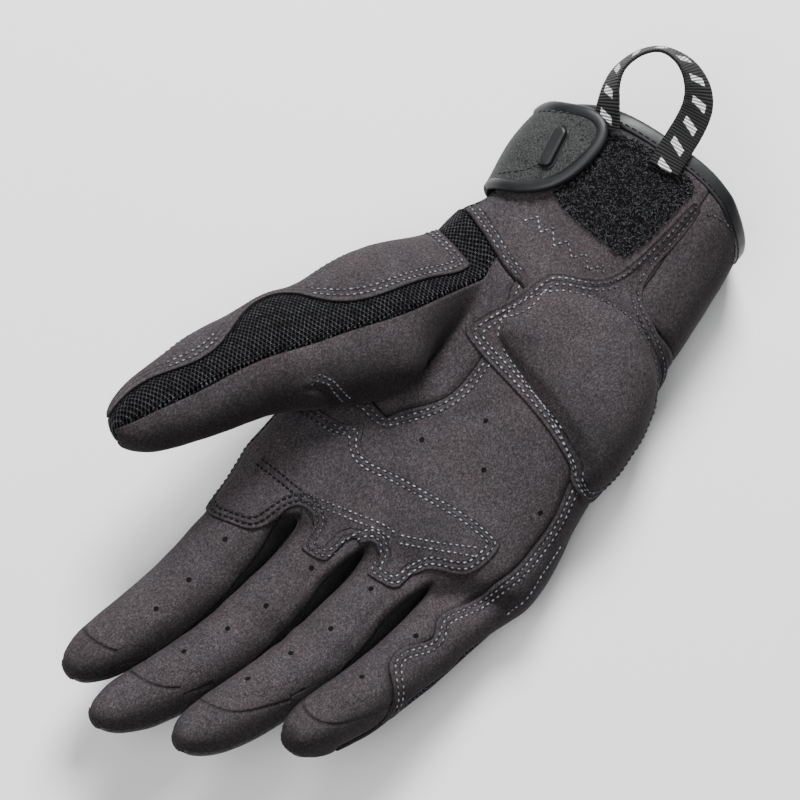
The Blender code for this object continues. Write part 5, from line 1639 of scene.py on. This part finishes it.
class GLOVE_OT_cuff_binding(bpy.types.Operator):
    """The folded binding round the cuff's mouth"""
    bl_idname = "glove.cuff_binding"
    bl_label = "Cuff binding"

    def execute(self, context):
        base = skin()
        chain = max(chains(base.seams[(base.seam_owners == -1).any(axis=1)]), key=len)
        rim = base.points[chain[:-1] if chain[0] == chain[-1] else chain]
        rim = resample(rim, 0.0012, closed=True)
        rim[:, 2] = np.maximum(rim[:, 2], PIPING * 0.56)
        ahead = np.roll(rim, -1, axis=0) - np.roll(rim, 1, axis=0)
        ahead /= np.linalg.norm(ahead, axis=1, keepdims=True)
        inward = rim.mean(axis=0) - rim
        inward[:, 1] = 0.0
        inward -= (inward * ahead).sum(axis=1, keepdims=True) * ahead
        inward /= np.linalg.norm(inward, axis=1, keepdims=True)
        out = np.cross(ahead, inward)
        out *= np.sign(out[:, 1:2])
        line = rim + inward * LEATHER * 0.5 + out * (PIPING - CUFF_BAND / 2 - 0.0003)
        wave = 1 + 0.05 * ripple(line, 0.020, 12)[:, None]
        profile = ellipse(CUFF_BAND, PIPING * 0.95, 24, power=3.4)
        points, faces = swept(line, out, inward * wave, profile, closed=True)
        band = BVHTree.FromPolygons(points.tolist(), [tuple(face) for face in faces])
        beside = rim - inward * PIPING * 0.5 + out * (PIPING - CUFF_BAND + 0.0008)
        row = stitches_on(np.concatenate([beside, beside[:1]]), band, sizes().stitch * 1.2)
        add_stitches("cuff_stitches", [row[row[:, 0, 2] > 0.012]], thread("cuff_thread", 0.16))
        points[:, 2] = np.maximum(points[:, 2], 0.0)
        facing_out(new_piece("cuff_binding_dressed", points, faces, rubber(), ("cuff_binding",)))
        return {"FINISHED"}


class GLOVE_OT_pull_loop(bpy.types.Operator):
    """The webbing loop at the cuff, on edge where it starts and flat where it ends"""
    bl_idname = "glove.pull_loop"
    bl_label = "Pull loop"

    def execute(self, context):
        line = resample(np.c_[in_metres(smooth(LOOP, 3, closed=False)[:, :3]),
                              np.radians(smooth(LOOP, 3, closed=False)[:, 3:])], 0.0007)
        line, turn = softened(line[:, :3], 10), line[:, 3:]
        ahead = np.gradient(line, axis=0)
        ahead /= np.linalg.norm(ahead, axis=1, keepdims=True)
        up = np.array([0.0, 0.0, 1.0]) - ahead[:, 2:] * ahead
        up /= np.linalg.norm(up, axis=1, keepdims=True)
        level = np.cross(ahead, up)
        wide = up * np.cos(turn) + level * np.sin(turn)
        thick = np.cross(ahead, wide)
        profile = ellipse(WEBBING_WIDTH, WEBBING, 28, power=5)
        points, faces = swept(line, wide, thick, profile)
        run = np.concatenate([[0], np.cumsum(np.linalg.norm(np.diff(line, axis=0), axis=1))])
        flat = np.stack(np.broadcast_arrays(profile[None, :, 0], run[:, None]), axis=2).reshape(-1, 2) * 1000
        piece = new_piece("pull_loop_dressed", points, faces, webbing(), ("pull_loop",), flat=flat)
        facing_out(piece)
        return {"FINISHED"}


class GLOVE_OT_stitches(bpy.types.Operator):
    """Two rows of stitches along the seams and the patches' edges, and the rows drawn across them"""
    bl_idname = "glove.stitches"
    bl_label = "Stitches"

    def execute(self, context):
        pitch, first, gap = sizes().stitch, sizes().first_row, sizes().row_gap
        rows = []
        for name, other in SEWN:
            for by in (first, first + gap):
                for line in seam_lines(name, other, by):
                    row = stitches_on(line, SHAPES[name], pitch)
                    for low, high in BARE.get((name, other), ()):
                        row = row[(row[:, 0, 1] < low) | (row[:, 0, 1] > high)]
                    rows.append(row)
        add_stitches("seam_stitches", rows, thread("seam_thread", 0.75))
        rows = []
        for name, outline, direction in (
            ("knuckle_patch", KNUCKLE_PATCH, PALM_UP), ("heel_patch", HEEL_PATCH, TOWARD_LITTLE),
        ):
            edge = resample(smooth(in_metres(outline), 2, closed=True), 0.0006, closed=True)
            one, two = plane_of(direction)
            flat = np.stack([edge @ one, edge @ two], axis=1)
            for by in (first, first + gap):
                line = inset(flat, by)
                line = softened(np.concatenate([line, line[:1]]), 4)
                lifted = line[:, :1] * one + line[:, 1:] * two + np.array(direction) * REACH
                found = [SHAPES[name].ray_cast(place, -direction)[0] for place in lifted.tolist()]
                line = np.array([tuple(place) for place in found if place is not None])
                row = stitches_on(line, SHAPES[name], pitch)
                if name == "heel_patch" and by > first:
                    x, y = row[:, 0, 0], row[:, 0, 1]
                    row = row[~((x > 0.030) & (y > 0.022)) & ~((x > 0.0115) & (y > 0.070))]
                rows.append(row)
        edge = smooth(PAD_OUTLINE / 1000, 2, closed=True)
        found = [SHAPES["heel_patch"].ray_cast((x, y, 0.2), (0, 0, -1))[0] for x, y in edge.tolist()]
        rows.append(stitches_on(np.array([tuple(place) for place in found if place is not None]),
                                SHAPES["heel_patch"], pitch))
        for name, lines in DRAWN_ROWS.items():
            rows += [stitches_on(np.array(line) / 1000, SHAPES[name], pitch * 0.9) for line in lines]
        add_stitches("patch_stitches", rows, thread(wear_and_painted_shade=True))
        return {"FINISHED"}


class GLOVE_OT_air_holes(bpy.types.Operator):
    """Punched air holes in the palm and the fingers, drawn as shallow discs on the leather whose near black is the
    lining and painted shade
    """
    bl_idname = "glove.air_holes"
    bl_label = "Air holes"

    def execute(self, context):
        turn = np.arange(14) * np.pi / 7
        radius = sizes().hole / 2
        # A shallow disc with a raised rim; its near black stands for the lining and the painted shade in the hole
        rings = ((1.05, -0.00004), (0.98, 0.00006), (0.80, 0.00004), (0.45, 0.00001))
        surface = SHAPES["palm_panel"]
        points, faces = [], []
        for hole in HOLES.tolist():
            names = ("palm_panel", "side_panel")
            hits = [SHAPES[name].find_nearest(hole) for name in names]
            place, way, _, _ = min(hits, key=lambda hit: hit[3])
            way = np.array(way)
            side = np.cross(way, (0.0, 1.0, 0.0))
            side /= np.linalg.norm(side)
            ahead = np.cross(side, way)
            start = sum(len(part) for part in points)
            for share, height in rings:
                ring = np.cos(turn)[:, None] * side + np.sin(turn)[:, None] * ahead * 1.15
                points.append(np.array(place) + ring * radius * share + way * height)
            faces += (grid_faces(len(rings), 14) + start).tolist()
            faces += [list(range(start, start + 14)), list(range(start + 42, start + 56))]
        facing_out(new_piece("air_holes", np.concatenate(points), faces, hole_lining_and_shade()))
        return {"FINISHED"}


class GLOVE_OT_stage(bpy.types.Operator):
    """The pale floor, the soft lights and the camera over the palm"""
    bl_idname = "glove.stage"
    bl_label = "Stage"

    def execute(self, context):
        scene = context.scene
        steps = np.linspace(-3.0, 3.0, 9)
        x, y = np.meshgrid(steps, steps, indexing="ij")
        points = np.stack([x.ravel(), y.ravel(), np.zeros(x.size)], axis=1)
        row, column = np.meshgrid(np.arange(8), np.arange(8), indexing="ij")
        low = (row * 9 + column).ravel()
        faces = np.stack([low, low + 9, low + 10, low + 1], axis=1)
        mesh = bpy.data.meshes.new("floor")
        mesh.from_pydata(points.tolist(), [], faces.tolist())
        floor = bpy.data.objects.new("floor", mesh)
        scene.collection.objects.link(floor)
        material, shader, nodes = new_material("pale_floor", specular=0.2)
        tone = nodes.fit(nodes.noise(object_place(nodes), 6.0), 0.3, 0.7, 0.99, 1.01)
        nodes.tree.links.new(nodes.scaled((0.93, 0.93, 0.935), tone), shader["Base Color"])
        shader["Roughness"].default_value = 0.85
        mesh.materials.append(material)
        for name, place, size, power in (
            ("key_light", (-0.58, 0.74, 1.08), 0.50, 40.0),
            ("fill_light", (-0.05, -0.55, 1.35), 0.9, 15.0),
            ("rim_light", (0.05, 1.25, 0.80), 0.7, 3.0),
        ):
            lamp = bpy.data.lights.new(name, "AREA")
            lamp.energy, lamp.size = power, size
            light = bpy.data.objects.new(name, lamp)
            light.location = place
            light.rotation_euler = (Vector(AIM) - Vector(place)).to_track_quat("-Z", "Y").to_euler()
            scene.collection.objects.link(light)
        world = bpy.data.worlds.new("studio")
        world.use_nodes = True
        world.node_tree.nodes["Background"].inputs["Color"].default_value = (0.95, 0.97, 1.0, 1.0)
        world.node_tree.nodes["Background"].inputs["Strength"].default_value = 0.17
        scene.world = world
        side, up = math.radians(CAMERA_SIDE), math.radians(CAMERA_UP)
        back = Vector((math.sin(side) * math.cos(up), -math.cos(side) * math.cos(up), math.sin(up)))
        lens = bpy.data.cameras.new("camera")
        lens.lens, lens.sensor_width, lens.clip_start = LENS, 36.0, 0.01
        camera = bpy.data.objects.new("camera", lens)
        camera.location = Vector(AIM) + back * DISTANCE
        camera.rotation_euler = back.to_track_quat("Z", "Y").to_euler()
        scene.collection.objects.link(camera)
        scene.camera = camera
        return {"FINISHED"}


OPERATORS = (
    GLOVE_OT_stage, GLOVE_OT_suede_panels, GLOVE_OT_knit_panels, GLOVE_OT_finger_sides, GLOVE_OT_knuckle_patch,
    GLOVE_OT_heel_pad, GLOVE_OT_closure_landing, GLOVE_OT_strap_end, GLOVE_OT_cuff_binding, GLOVE_OT_pull_loop,
    GLOVE_OT_stitches, GLOVE_OT_air_holes,
)


class GLOVE_PT_sidebar(bpy.types.Panel):
    """The glove's sizes, colours and pieces"""
    bl_idname = "GLOVE_PT_sidebar"
    bl_label = "Riding glove"
    bl_space_type = "VIEW_3D"
    bl_region_type = "UI"
    bl_category = "Glove"

    def draw(self, context):
        for group in (context.scene.glove_sizes, context.scene.glove_colours):
            box = self.layout.box()
            for name in group.bl_rna.properties.keys():
                if name not in ("rna_type", "name"):
                    box.prop(group, name)
        for operator in OPERATORS:
            self.layout.operator(operator.bl_idname)


CLASSES = (GloveSizes, GloveColours, *OPERATORS, GLOVE_PT_sidebar)


def register():
    for cls in CLASSES:
        bpy.utils.register_class(cls)
    bpy.types.Scene.glove_sizes = bpy.props.PointerProperty(type=GloveSizes)
    bpy.types.Scene.glove_colours = bpy.props.PointerProperty(type=GloveColours)


def unregister():
    del bpy.types.Scene.glove_colours
    del bpy.types.Scene.glove_sizes
    for cls in reversed(CLASSES):
        bpy.utils.unregister_class(cls)


def main():
    register()
    for operator in OPERATORS:
        getattr(bpy.ops.glove, operator.bl_idname.split(".")[1])()


if __name__ == "__main__":
    main()
